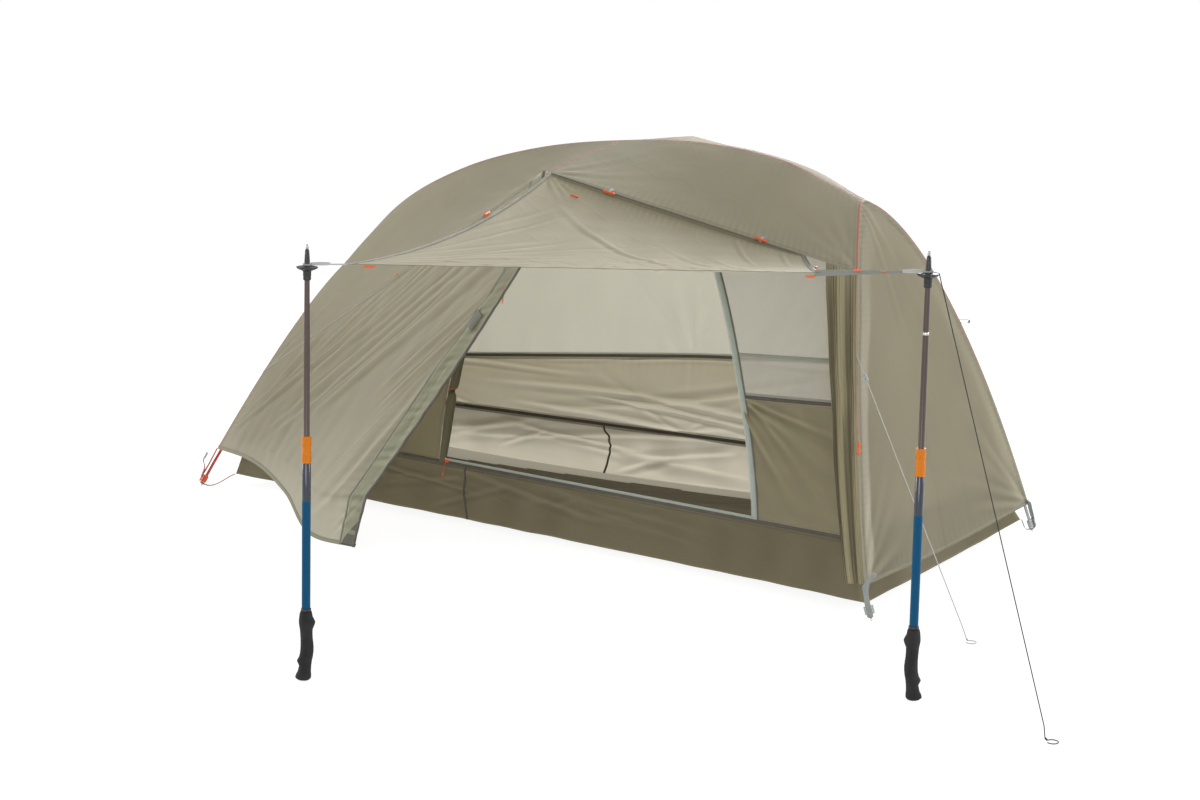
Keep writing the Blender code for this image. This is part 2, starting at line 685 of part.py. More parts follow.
def rainfly():
    head_front, foot_front = fly_legs["head_front"], fly_legs["foot_front"]
    head_roof = patch(spine_head, head_seam, brow_front, leg_upper["head_front"])
    cloth("fly_roof_head", pulled_back(head_roof), "fly_cloth")
    foot_roof = patch(spine_foot, foot_seam, brow_front, leg_upper["foot_front"])
    cloth("fly_roof_foot", pulled_back(foot_roof), "fly_cloth")
    end_panel("fly_head_wall", head_front, fly_legs["head_rear"], HEAD_HEM_MIDDLE)
    end_panel("fly_foot_wall", foot_front, fly_legs["foot_rear"], FOOT_HEM_MIDDLE)
    rear_foot = patch(spine_foot, rear_hem_foot, rear_middle, fly_legs["foot_rear"])
    rear_head = patch(spine_head, rear_hem_head, rear_middle, fly_legs["head_rear"])
    rear = np.concatenate([rear_foot[:, ::-1], rear_head[:, 1:]], axis=1)
    cloth("fly_rear_wall", pulled_back(rear), "fly_cloth")

    door = patch(foot_seam, left_hem[::-1], zip_edge, leg_lower["foot_front"])
    door = refined(pulled_back(door, left=0.0045), 12, 24)
    cloth("vestibule_wall", fan_folds(door, LEFT_FOLD_DEPTH, LEFT_FOLD_COUNT, (1.0, 1.0)), "fly_cloth")
    return door


def gathered_door():
    """The door cloth of the head side, folded lengthwise against the front head leg."""
    rail = leg_lower["head_front"]
    drop = np.linspace(0.0, 1.0, len(rail))[:, None]
    reach = GATHER_TOP + (GATHER_BOTTOM - GATHER_TOP) * drop
    towards_foot = unit(head_seam[0] - head_seam[-1])
    free = rail + towards_foot * reach * (1 - drop) + np.array([-1.0, -0.10, 0.0]) * reach * drop
    rail = rail.copy()
    rail[-1] = rail[-1] + unit(rail[-2] - rail[-1]) * 0.004
    top = straight(free[0], rail[0], 10)
    bottom = straight(free[-1], rail[-1], 10)
    grid = patch(top, bottom, free, rail)
    across = np.linspace(0.0, 1.0, 11)[None, :]
    down = np.linspace(0.0, 1.0, len(rail))[:, None]
    wave = (0.5 - 0.5 * np.cos(2 * math.pi * GATHER_FOLD_COUNT * across)) * (1 - across) ** 0.5
    wave = wave * (0.25 + 0.75 * np.sin(math.pi * np.clip(down, 0.0, 1.0) * 0.9) ** 0.7)
    outward = -unit((0.35, 1.0, -0.25))
    grid = grid + outward * (GATHER_FOLD_DEPTH * wave)[:, :, None]
    grid = pulled_back(grid, near=0.0018, right=SEAM_GAP)
    cloth("tied_door", grid, "fly_cloth", outside=lambda point: Vector(outward))


def awning():
    """The door panel held out flat, with its hanging sag and the folds at its gathered corner."""
    attach = straight(head_seam[0], head_seam[0] + (head_seam[-1] - head_seam[0]) * AWNING_SEAM_SHARE, 14)
    hang = np.array([0.0, -0.0006, -AWNING_HANG])
    attach = attach + hang
    attach[0] = attach[0] + unit(attach[1] - attach[0]) * 0.010
    front = straight(AWNING_LEFT, AWNING_RIGHT, 14)
    rows = 12
    left = straight(attach[0], front[0], rows)
    right = straight(attach[-1], front[-1], rows)
    share = np.linspace(0.0, 1.0, rows + 1)
    left[:, 2] -= AWNING_EDGE_SAG * 4 * share * (1 - share)
    right[:, 2] -= AWNING_RIGHT_SAG * 4 * share * (1 - share)
    grid = patch(attach, front, left, right)
    across = np.linspace(0.0, 1.0, grid.shape[1])[None, :]
    down = share[:, None]
    sag = AWNING_SAG * np.sin(math.pi * down ** 0.5) * (4 * across * (1 - across)) ** 0.5
    grid[:, :, 2] -= sag
    grid = fan_folds(grid, AWNING_FOLD_DEPTH, 7, (0.0, 0.0))
    cloth("awning", grid, "awning_cloth", outside=upwards)
    return grid


def awning_straps(corner_points):
    """Straps from the awning's front corners to rings round the poles, just above the baskets."""
    for side, corner, neighbour in corner_points:
        frame = pole_frames[side]
        ring_base = frame @ Matrix.Translation((0, 0, BASKET_HEIGHT + 0.0022 + GAP))
        inner = FERRULE_RADIUS + 2 * GAP
        ring = cylinder(f"{side}_ring_body", inner + STRAP_RING_WALL, STRAP_RING_HEIGHT, ring_base, 24)
        hole = cylinder(f"{side}_ring_hole", inner, 0.03, ring_base @ Matrix.Translation((0, 0, -0.01)), 24)
        centre = ring_base @ Vector((0, 0, STRAP_RING_HEIGHT / 2))
        start = Vector(corner) + (centre - Vector(corner)).normalized() * (2 * GAP)
        away = (start - centre).normalized()
        end = centre + away * (inner + STRAP_RING_WALL * 0.6)
        across = away.cross(Vector((0, 0, 1)))
        centres = [start.lerp(end, part) for part in np.linspace(0.0, 1.0, 3)]
        band = strip(f"{side}_band", centres, across, STRAP_WIDTH, STRAP_THICKNESS)
        solid_from(f"{side}_awning_strap", ring, "grey_webbing", add=[band], cut=[hole])


# Inner tent

def ring_corner(values, side):
    return np.array([values[0], side * values[1]])


def floor_outline(cells_long, cells_short):
    """The floor's four edges, drawn in between the corners: front, head, rear, foot."""
    share = np.linspace(0.0, 1.0, cells_long + 1)
    bow = 4 * share * (1 - share)
    x = FLOOR_FOOT[0] + (FLOOR_HEAD[0] - FLOOR_FOOT[0]) * share
    y = FLOOR_FOOT[1] + (FLOOR_HEAD[1] - FLOOR_FOOT[1]) * share - FLOOR_DRAW_IN * bow
    z = FLOOR_EDGE_LIFT + FLOOR_CORNER_LIFT * (1 - bow)
    front = np.stack([x, -y, z], axis=1)
    rear = np.stack([x, y, z], axis=1)
    share = np.linspace(0.0, 1.0, cells_short + 1)
    bow = 4 * share * (1 - share)

    def end(corner, direction):
        edge = straight((corner[0], -corner[1], 0.0), (corner[0], corner[1], 0.0), cells_short)
        edge[:, 0] -= direction * FLOOR_END_DRAW_IN * bow
        edge[:, 2] = FLOOR_EDGE_LIFT + FLOOR_CORNER_LIFT * (1 - bow)
        return edge

    return front, end(FLOOR_HEAD, 1.0), rear, end(FLOOR_FOOT, -1.0)


def bathtub_floor():
    """The floor with its walls: flat on the ground in the middle, lifted at the edges."""
    long_cells, short_cells = 14, 6
    front, head, rear, foot = floor_outline(long_cells, short_cells)
    grid = patch(front, rear, foot, head)
    across = np.abs(np.linspace(-1.0, 1.0, long_cells + 1))[None, :]
    down = np.abs(np.linspace(-1.0, 1.0, short_cells + 1))[:, None]
    edge = np.maximum(across ** 1.0, down)
    lift = np.clip((edge - FLOOR_FLAT_SHARE) / (1 - FLOOR_FLAT_SHARE), 0.0, 1.0)
    grid[:, :, 2] *= lift
    form = bmesh.new()
    bmesh.ops.create_grid(form, x_segments=long_cells, y_segments=short_cells, size=0.5)
    for vertex in form.verts:
        column = round((vertex.co.x + 0.5) * long_cells)
        row = round((vertex.co.y + 0.5) * short_cells)
        vertex.co = Vector(grid[row, column])
    rim = [each for each in form.edges if each.is_boundary]
    raised = bmesh.ops.extrude_edge_only(form, edges=rim)["geom"]
    for vertex in [each for each in raised if isinstance(each, bmesh.types.BMVert)]:
        share = (vertex.co.x - FLOOR_FOOT[0]) / (FLOOR_HEAD[0] - FLOOR_FOOT[0])
        share = min(max(share, 0.0), 1.0)
        half = TUB_FOOT[1] + (TUB_HEAD[1] - TUB_FOOT[1]) * share
        floor_half = FLOOR_FOOT[1] + (FLOOR_HEAD[1] - FLOOR_FOOT[1]) * share - FLOOR_DRAW_IN * 4 * share * (1 - share)
        sideways = min(max(vertex.co.y / floor_half, -1.0), 1.0)
        x = TUB_FOOT[0] + (TUB_HEAD[0] - TUB_FOOT[0]) * share
        z = TUB_FOOT[2] + (TUB_HEAD[2] - TUB_FOOT[2]) * share
        vertex.co = Vector((x, half * sideways, z))
    bmesh.ops.recalc_face_normals(form, faces=form.faces)
    lowest = min(form.faces, key=lambda face: face.calc_center_median().z)
    if lowest.normal.z > 0:
        bmesh.ops.reverse_faces(form, faces=form.faces)
    mesh = bpy.data.meshes.new("floor_tub")
    form.to_mesh(mesh)
    form.free()
    made = link("floor_tub", mesh, "floor_cloth")
    shell = made.modifiers.new("cloth", "SOLIDIFY")
    shell.thickness = CLOTH
    shell.offset = -1.0
    return made


def tub_corner(values, side):
    return np.array([values[0], side * values[1], values[2]])


def inner_leg(name, hub_point, corner):
    """A corner line of the inner tent: it follows the pole inside the fly, down to the tub."""
    hub_x = LEGS[name][0][0]
    moved = shifted_in(leg_lines[name][::8], INNER_LEG_STAND, lambda point: (hub_x, 0.0, 0.35))
    inside = moved[(moved[:, 2] < hub_point[2] - 0.14) & (moved[:, 2] > corner[2] + 0.16)]
    return smooth_line([hub_point, *evenly(inside, 3), corner], INNER_LEG_CELLS)


def inner_rails(spine):
    """Ridge, corner lines and middle lines of the inner tent."""
    inside = spine[(spine[:, 0] > INNER_FOOT_HUB[0] + 0.05) & (spine[:, 0] < INNER_HEAD_HUB[0] - 0.05)]
    line = np.vstack([INNER_FOOT_HUB, inside - np.array([0.0, 0.0, INNER_DROP]), INNER_HEAD_HUB])
    crossing = np.array([PEAK[0], 0.0, np.interp(PEAK[0], line[:, 0], line[:, 2])])
    foot = evenly(np.vstack([line[line[:, 0] < PEAK[0]], crossing]), INNER_RIDGE_CELLS // 2)
    head = evenly(np.vstack([crossing, line[line[:, 0] > PEAK[0]]]), INNER_RIDGE_CELLS // 2)
    legs = {}
    for end, hub_point, tub in (("head", INNER_HEAD_HUB, TUB_HEAD), ("foot", INNER_FOOT_HUB, TUB_FOOT)):
        for name, side in (("front", -1), ("rear", 1)):
            leg = f"{end}_{name}"
            legs[leg] = inner_leg(leg, np.array(hub_point), tub_corner(tub, side))
    return foot, head, legs


def rim_point(x, side):
    share = (x - TUB_FOOT[0]) / (TUB_HEAD[0] - TUB_FOOT[0])
    low, high = tub_corner(TUB_FOOT, side), tub_corner(TUB_HEAD, side)
    return low + (high - low) * share


def inner_side(foot, head, legs, side, brow):
    """One long side of the inner tent as a grid: ridge at the top, tub rim at the bottom."""
    name = "front" if side < 0 else "rear"
    crossing = head[0]
    below_brow = rim_point(PEAK[0], side)
    middle = joined(straight(crossing, brow, 2), smooth_line([brow, (brow + below_brow) / 2
                    + np.array([0.0, side * INNER_SIDE_BULGE, INNER_SIDE_RISE]), below_brow], INNER_LEG_CELLS - 2))
    half = INNER_RIDGE_CELLS // 2
    rim_foot = straight(below_brow, tub_corner(TUB_FOOT, side), half)
    rim_head = straight(below_brow, tub_corner(TUB_HEAD, side), half)
    foot_leg = legs[f"foot_{name}"]
    foot_half = patch(foot[::-1], rim_foot, middle, foot_leg)
    if side < 0:
        shoulder = straight(middle[2], foot_leg[2], half)
        high = patch(foot[::-1], shoulder, middle[:3], foot_leg[:3])
        low = patch(shoulder, rim_foot, middle[2:], foot_leg[2:])
        foot_half = np.concatenate([high, low[1:]], axis=0)
    head_half = patch(head, rim_head, middle, legs[f"head_{name}"])
    return np.concatenate([foot_half[:, ::-1], head_half[:, 1:]], axis=1)


def on_surface(grid, across, down):
    """A point of the grid's surface at shares across and down."""
    columns, rows = grid.shape[1] - 1, grid.shape[0] - 1
    column = min(int(across * columns), columns - 1)
    row = min(int(down * rows), rows - 1)
    u, v = across * columns - column, down * rows - row
    top = grid[row, column] * (1 - u) + grid[row, column + 1] * u
    bottom = grid[row + 1, column] * (1 - u) + grid[row + 1, column + 1] * u
    return top * (1 - v) + bottom * v


def door_half_width(height):
    return DOOR_HALF_WIDTH * (1 - (height / DOOR_HEIGHT) ** DOOR_POWER) ** (1 / DOOR_POWER)


def door_height(height):
    """Height share on the door's outline beside a height share on the corner line."""
    if height <= LOW_WALL_SHARE:
        return height
    return LOW_WALL_SHARE + (height - LOW_WALL_SHARE) * (DOOR_SHOULDER - LOW_WALL_SHARE) / (1 - LOW_WALL_SHARE)


def front_wall_grid(surface):
    """The front wall as a band from its outer edge in to the door's outline."""
    heights = np.linspace(0.0, 1.0, INNER_LEG_CELLS + 1)
    outer = [(0.0, height) for height in heights]
    inner = [(DOOR_MIDDLE - door_half_width(door_height(height)), door_height(height)) for height in heights]
    shoulder = door_half_width(DOOR_SHOULDER)
    for share in np.linspace(0.0, 1.0, INNER_RIDGE_CELLS + 1)[1:]:
        outer.append((share, 1.0))
        across = DOOR_MIDDLE - shoulder * math.cos(math.pi * share)
        offset = abs(across - DOOR_MIDDLE) / DOOR_HALF_WIDTH
        inner.append((across, DOOR_HEIGHT * (1 - offset ** DOOR_POWER) ** (1 / DOOR_POWER)))
    for height in heights[::-1][1:]:
        outer.append((1.0, height))
        inner.append((DOOR_MIDDLE + door_half_width(door_height(height)), door_height(height)))
    rows = []
    for depth in np.linspace(0.0, 1.0, 4):
        row = []
        for (u0, v0), (u1, v1) in zip(outer, inner):
            u, v = u0 + (u1 - u0) * depth, v0 + (v1 - v0) * depth
            row.append(on_surface(surface, u, 1.0 - v))
        rows.append(row)
    return np.array(rows)


def inner_tent(spine):
    foot, head, legs = inner_rails(spine)
    rear = inner_side(foot, head, legs, 1, np.array(INNER_BROW_REAR))
    band = round(INNER_LEG_CELLS * (1 - REAR_WALL_SHARE))
    cloth("inner_rear_mesh", pulled_back(rear[:band + 1]), "mesh_cloth")
    cloth("inner_rear_wall", pulled_back(rear[band:], far=HEM_GAP), "wall_cloth")
    for end, drop in (("head", TUB_HEAD), ("foot", TUB_FOOT)):
        front_leg, rear_leg = cut_apex(legs[f"{end}_front"]), cut_apex(legs[f"{end}_rear"])
        hem = straight(front_leg[-1], rear_leg[-1], 4)
        top = straight(front_leg[0], rear_leg[0], 4)
        grid = pulled_back(patch(top, hem, front_leg, rear_leg), far=HEM_GAP)
        cloth(f"inner_{end}_wall", grid, "wall_cloth")

    front = inner_side(foot, head, legs, -1, np.array(INNER_BROW_FRONT))
    wall = front_wall_grid(front)
    low_cells = round(INNER_LEG_CELLS * LOW_WALL_SHARE)
    upper = pulled_back(wall[:, :-low_cells], left=HEM_GAP, right=SEAM_GAP, far=0.0)
    cloth("inner_front_mesh", upper, "mesh_cloth")
    lower = pulled_back(wall[:, -low_cells - 1:], left=SEAM_GAP, right=HEM_GAP, far=0.0)
    cloth("inner_front_pocket", lower, "wall_cloth")
    ridge = np.vstack([foot, head[1:]])
    for name, x in (("foot_clip", -0.62), ("peak_clip", PEAK[0] + 0.03), ("head_clip", 0.62)):
        inner_clip(name, spine, ridge, x)
    return front, wall


def door_roll(wall):
    """The inner door rolled up and tied beside its hinge edge, thin at both ends."""
    edge = evenly(wall[-1][:INNER_LEG_CELLS + 1], 60)
    path = evenly(edge[edge[:, 2] < DOOR_ROLL_TOP], 11)
    slopes = np.gradient(path, axis=0)
    sides = 10
    rings = []
    for index, (place, slope) in enumerate(zip(path, slopes)):
        share = index / (len(path) - 1)
        radius = DOOR_ROLL_RADIUS * (0.35 + 0.65 * math.sin(math.pi * (0.08 + 0.84 * share)) ** 0.5)
        inward = unit((slope[2], 0.0, -slope[0]))
        middle = place + inward * (radius + 2 * GAP) + unit(slope) * 0.0114
        ring = []
        for number in range(sides):
            turn = 2 * math.pi * number / sides
            reach = radius * (1.0 - 0.14 * (number % 2))
            ring.append(middle + np.array([math.cos(turn), math.sin(turn), 0.0]) * reach)
        rings.append(ring)
    form = lofted(rings)
    mesh = bpy.data.meshes.new("inner_door_roll")
    form.to_mesh(mesh)
    form.free()
    link("inner_door_roll", mesh, "mesh_cloth")


def zip_slider(name, place, along, outward, pull_direction):
    """A zip slider with its cord pull. Its length lies along the zip."""
    frame = frame_along(place, outward, along)
    body = box(f"{name}_body", (SLIDER_SIZE[0], SLIDER_SIZE[2], SLIDER_SIZE[1]), (0, 0, 0), frame, 0.001)
    start = frame @ Vector((0, 0, SLIDER_SIZE[1] / 2 - 0.001))
    pull = cylinder(f"{name}_pull", PULL_RADIUS, PULL_LENGTH,
                    frame_along(start, pull_direction, along), 8)
    return solid_from(name, body, "orange_plastic", add=[pull])


# Toggles and guylines

def toggle(name, place, along, outward, fall):
    """A bar on a short stem that lies out from a seam and falls by an angle."""
    tilt = math.radians(fall)
    drop = Vector((0, 0, -1)) * math.sin(tilt) + Vector(outward).normalized() * math.cos(tilt)
    start = Vector(place)
    stem = cylinder(f"{name}_stem", TOGGLE_STEM_RADIUS, TOGGLE_DROP, frame_along(start, drop, along), 8)
    bar_centre = start + drop * TOGGLE_DROP
    along = Vector(along).normalized()
    bar = cylinder(f"{name}_bar", TOGGLE_RADIUS, TOGGLE_LENGTH,
                   frame_along(bar_centre - along * TOGGLE_LENGTH / 2, along, drop), 12)
    return solid_from(name, bar, "orange_plastic", add=[stem])


def ground_loop(end, direction):
    """Points of a small loop on the ground at a guyline's end, not quite closed."""
    direction = unit([direction[0], direction[1], 0.0])
    side = np.array([-direction[1], direction[0], 0.0])
    centre = end + direction * GUY_RING_RADIUS
    points = []
    for turn in np.linspace(math.pi, -0.62 * math.pi, 14):
        points.append(centre + (direction * math.cos(turn) + side * math.sin(turn)) * GUY_RING_RADIUS)
    return points


def guyline(name, start, stake, colour, leader=()):
    """A taut cord from the tent to the loop that a stake would hold."""
    start = np.asarray(start, float)
    stake = np.array([stake[0], stake[1], CORD_RADIUS + 0.0001])
    run = stake - start
    before = stake - unit(run) * 0.03
    bend = stake - unit([run[0], run[1], 0.0]) * 0.006 + np.array([0.0, 0.0, 0.0035])
    points = [*leader, start, start + run * 0.33, start + run * 0.66, before, bend, *ground_loop(stake, run)]
    rod(name, points, CORD_RADIUS, colour, resolution=1)
    return unit(run)


# Corner fittings

def corner_fitting(name, frame, fly_corner, floor_corner, warm):
    """Pole tip, tension buckle, and the webbing that ties the fly and the floor to the tip."""
    profile = [(0.0, TIP_SOCKET_FLOOR), (POLE_RADIUS + GAP, TIP_SOCKET_FLOOR), (POLE_RADIUS + GAP, TIP_LENGTH),
               (TIP_SLEEVE_RADIUS, TIP_LENGTH), (TIP_SLEEVE_RADIUS, 0.0125), (TIP_FLANGE_RADIUS, 0.0122),
               (TIP_FLANGE_RADIUS, 0.0098), (TIP_NECK_RADIUS, 0.0093), (TIP_NECK_RADIUS, 0.0032)]
    for angle in (20, 0, -30, -60):
        turn = math.radians(angle)
        profile.append((TIP_BALL_RADIUS * math.cos(turn), TIP_BALL_RADIUS * math.sin(turn)))
    profile.append((0.0, -TIP_BALL_RADIUS))
    turned(f"{name}_tip", profile, "bare_metal", 12, frame)

    base = 0.0128
    plate_x = TIP_SLEEVE_RADIUS + GAP + 0.0012 + BUCKLE_PLATE / 2
    collar = cylinder(f"{name}_buckle_collar", TIP_SLEEVE_RADIUS + GAP + 0.0018, BUCKLE_HEIGHT,
                      frame @ Matrix.Translation((0, 0, base)), 12)
    plate = box(f"{name}_buckle_plate", (BUCKLE_PLATE, BUCKLE_WIDTH, BUCKLE_HEIGHT),
                (plate_x, 0, base + BUCKLE_HEIGHT / 2), frame, 0.0008)
    bore = cylinder(f"{name}_buckle_bore", TIP_SLEEVE_RADIUS + GAP, 0.05, frame, 12)
    slots = [box(f"{name}_slot_{index}", (0.02, WEBBING_WIDTH + 0.001, 0.0028),
                 (plate_x + 0.0105, 0, base + height), frame) for index, height in enumerate((0.006, 0.014))]
    solid_from(f"{name}_buckle", collar, "orange_plastic" if warm else "grey_plastic",
               add=[plate], cut=[bore, *slots])

    back = frame.inverted()
    fly_local = back @ Vector(fly_corner)
    floor_local = back @ Vector(floor_corner)
    face = plate_x + BUCKLE_PLATE / 2 + WEBBING_THICKNESS / 2 + GAP
    centres = [fly_local, Vector((face, 0, base + BUCKLE_HEIGHT + 0.002)), Vector((face, 0, base + 0.001)),
               Vector((face * 0.75, 0, 0.0085)), Vector((0.0045, 0, 0.0066))]
    upper = strip(f"{name}_fly_band", centres, (0, 1, 0), WEBBING_WIDTH, WEBBING_THICKNESS, frame)
    flat_side = Vector((0, 0, 1)).cross(floor_local).normalized()
    inward = Vector((floor_local.x, floor_local.y, 0.0)).normalized()
    begin = inward * 0.0046 + Vector((0, 0, 0.0066))
    beside = inward * 0.012 + Vector((0, 0, 0.0075))
    lower = strip(f"{name}_floor_band", [begin, beside, floor_local], flat_side,
                  WEBBING_WIDTH * 0.7, WEBBING_THICKNESS, frame)
    ring = cylinder(f"{name}_webbing_ring", TIP_NECK_RADIUS + 0.0033, 0.0030,
                    frame @ Matrix.Translation((0, 0, 0.0050)), 16)
    hole = cylinder(f"{name}_webbing_hole", TIP_NECK_RADIUS + GAP, 0.02,
                    frame @ Matrix.Translation((0, 0, -0.005)), 16)
    solid_from(f"{name}_webbing", ring, "red_webbing" if warm else "grey_webbing",
               add=[upper, lower], cut=[hole])


# Walking poles

def pole_placing(foot, top, facing):
    """A frame at the pole's foot with z up the pole and x across the grip's profile."""
    return frame_along(foot, Vector(top) - Vector(foot), facing)


def grip(name, frame):
    """The foam grip, its spur and flared end lofted through oval sections; the tube enters its top."""
    sections = [(0.0, -0.0120, 0.0050, 0.55), (0.006, -0.0240, 0.0120, 0.95), (0.020, -0.0183, 0.0113, 1.0),
                (0.034, -0.0150, 0.0120, 0.95), (0.045, -0.0204, 0.0134, 0.97), (0.055, -0.0150, 0.0155, 1.0),
                (0.076, -0.0120, 0.0172, 1.03), (0.097, -0.0120, 0.0150, 1.0), (0.118, -0.0134, 0.0148, 0.98),
                (0.135, -0.0160, 0.0210, 1.03), (0.147, -0.0150, 0.0148, 0.98),
                (GRIP_HEIGHT, -0.0125, 0.0125, 0.84)]
    rings = []
    for height, left, right, depth in sections:
        middle, half = (left + right) / 2, (right - left) / 2
        turns = np.linspace(0.0, 2 * math.pi, POLE_SIDES, endpoint=False)
        rings.append([(middle + half * math.cos(turn), GRIP_HALF_DEPTH * depth * math.sin(turn), height)
                      for turn in turns])
    form = lofted(rings)
    body = tool(f"{name}_body", form, frame)
    bore = cylinder(f"{name}_bore", TUBE_RADIUS + GAP, 0.2, frame @ Matrix.Translation((0, 0, TUBE_BOTTOM - GAP)), POLE_SIDES)
    return solid_from(name, body, "grip_foam", cut=[bore])


def walking_pole(side, frame):
    """Grip, upper tube, twist collar, lower shaft and the black tip with its basket."""
    grip(f"{side}_pole_grip", frame)
    bore = TUBE_RADIUS - TUBE_WALL
    tube = [(0.0, TUBE_BOTTOM + 0.003), (bore, TUBE_BOTTOM + 0.003), (bore, TUBE_TOP), (TUBE_RADIUS, TUBE_TOP),
            (TUBE_RADIUS, TUBE_BOTTOM), (0.0, TUBE_BOTTOM)]
    turned(f"{side}_pole_tube", tube, "blue_tube", POLE_SIDES, frame)
    low, high = TUBE_TOP + GAP, COLLAR_TOP
    hole = SHAFT_RADIUS + GAP
    middle = (low + high) / 2
    outer = [(COLLAR_RADIUS - 0.0012, high), (COLLAR_RADIUS - 0.0002, high - 0.002),
             (COLLAR_RADIUS - 0.0002, middle + 0.006), (COLLAR_RADIUS - 0.0012, middle + 0.002),
             (COLLAR_RADIUS - 0.0012, middle - 0.002), (COLLAR_RADIUS, middle - 0.006),
             (COLLAR_RADIUS, low + 0.002), (COLLAR_RADIUS - 0.001, low)]
    turned(f"{side}_pole_collar", [(hole, low), (hole, high), *outer], "collar_plastic", POLE_SIDES, frame, closed=True)
    shaft = [(0.0, NECK_BOTTOM + 0.030), (SHAFT_END_RADIUS * 0.9, NECK_BOTTOM + 0.030),
             (SHAFT_END_RADIUS, NECK_BOTTOM), (SHAFT_RADIUS, (NECK_BOTTOM + COLLAR_TOP) / 2),
             (SHAFT_RADIUS, SHAFT_BOTTOM + 0.03),
             (bore - GAP, SHAFT_BOTTOM + 0.028), (bore - GAP, SHAFT_BOTTOM), (0.0, SHAFT_BOTTOM)]
    turned(f"{side}_pole_shaft", shaft, "brown_shaft", POLE_SIDES, frame)
    top = POLE_END
    tip_bore = SHAFT_END_RADIUS * 0.9 + GAP
    tip = [(0.0, NECK_BOTTOM + 0.0305), (tip_bore, NECK_BOTTOM + 0.0305), (SHAFT_END_RADIUS + GAP, NECK_BOTTOM),
           (0.0078, NECK_BOTTOM), (0.0088, NECK_BOTTOM + 0.006), (0.0088, BASKET_HEIGHT - 0.012),
           (0.0100, BASKET_HEIGHT - 0.008), (BASKET_RADIUS - 0.003, BASKET_HEIGHT - 0.0045),
           (BASKET_RADIUS, BASKET_HEIGHT - 0.002), (BASKET_RADIUS, BASKET_HEIGHT),
           (0.0120, BASKET_HEIGHT + 0.0022), (FERRULE_RADIUS, BASKET_HEIGHT + 0.0022),
           (0.0045, FERRULE_TOP), (0.0030, FERRULE_TOP + 0.0005), (0.0026, top - 0.002), (0.0014, top), (0.0, top)]
    turned(f"{side}_pole_tip", tip[::-1], "black_plastic", POLE_SIDES, frame)


spine_points, tip_frames = pole_frame()
vestibule_grid = rainfly()
gathered_door()
awning_grid = awning()
VIEW_RIGHT = (0.828, 0.561, 0.0)
pole_frames = {
    "left": pole_placing(LEFT_POLE_FOOT, LEFT_POLE_TOP, VIEW_RIGHT),
    "right": pole_placing(RIGHT_POLE_FOOT, RIGHT_POLE_TOP, [-value for value in VIEW_RIGHT]),
}
for pole_side, pole_base in pole_frames.items():
    walking_pole(pole_side, pole_base)
awning_straps([("left", awning_grid[-1, 0], awning_grid[-1, 1]), ("right", awning_grid[-1, -1], awning_grid[-1, -2])])

bathtub_floor()
front_surface, front_band = inner_tent(spine_points)
door_roll(front_band)
for corner_name, corner_frame in tip_frames.items():
    at_foot = corner_name.startswith("foot")
    floor_values = FLOOR_FOOT if at_foot else FLOOR_HEAD
    corner_side = -1.0 if corner_name.endswith("front") else 1.0
    lift = FLOOR_EDGE_LIFT + FLOOR_CORNER_LIFT
    floor_point = np.array([floor_values[0], corner_side * floor_values[1], lift])
    fly_point = fly_legs[corner_name][-1]
    outward_plan = unit([fly_point[0] - LEGS[corner_name][0][0], fly_point[1], 0.0])
    floor_point = floor_point + outward_plan * 0.0022
    fly_point = fly_point + outward_plan * 0.0004 + np.array([0.0, 0.0, -0.0006])
    corner_fitting(corner_name, corner_frame, fly_point, floor_point, at_foot)

seam_along = unit(head_seam[-1] - head_seam[0])
for toggle_number, seam_share in enumerate(SEAM_TOGGLES):
    seam_place = head_seam[0] + (head_seam[-1] - head_seam[0]) * seam_share
    attach_share = min(seam_share / AWNING_SEAM_SHARE, 1.0)
    seam_outward = on_surface(awning_grid, attach_share, 0.03) - on_surface(awning_grid, attach_share, 0.0)
    seam_outward = unit(seam_outward - seam_along * seam_outward.dot(seam_along))
    seam_upward = np.cross(seam_along, seam_outward) * -1.0
    toggle(f"seam_toggle_{toggle_number + 1}", seam_place + seam_upward * SEAM_TOGGLE_LIFT,
           seam_along, seam_outward, SEAM_TOGGLE_FALL)

head_line = leg_lines["head_front"]
leg_place = between_heights(head_line, LEG_TOGGLE_HEIGHT, LEG_TOGGLE_HEIGHT - 0.05, 1)
leg_outward = unit((0.6, -0.8, 0.0))
toggle("leg_toggle", leg_place[0] + leg_outward * 0.0028, leg_place[1] - leg_place[0], leg_outward, LEG_TOGGLE_FALL)

zip_run = unit(np.subtract(ZIP_FOOT, ZIP_KNEE))
zip_into = vestibule_grid[6, 4] - vestibule_grid[6, 0]
zip_into = unit(zip_into - zip_run * zip_into.dot(zip_run))
zip_out = np.cross(zip_run, zip_into)
zip_out = unit(zip_out * -np.sign(zip_out[1]))
zip_place = np.array(ZIP_KNEE) + zip_run * VESTIBULE_SLIDER_START - zip_into * 0.0024
zip_slider("vestibule_slider", zip_place, zip_run, zip_out, (0.0, -0.25, -1.0))

sill = front_band[-1]
sill_run = unit(sill[-1] - sill[0])
sill_place = sill[0] + sill_run * DOOR_SLIDER_START + np.array([0.0, 0.0, SLIDER_SIZE[2] / 2 + GAP])
zip_slider("door_slider", sill_place, sill_run, (0.0, -1.0, 0.0), (0.0, -0.5, -1.0))

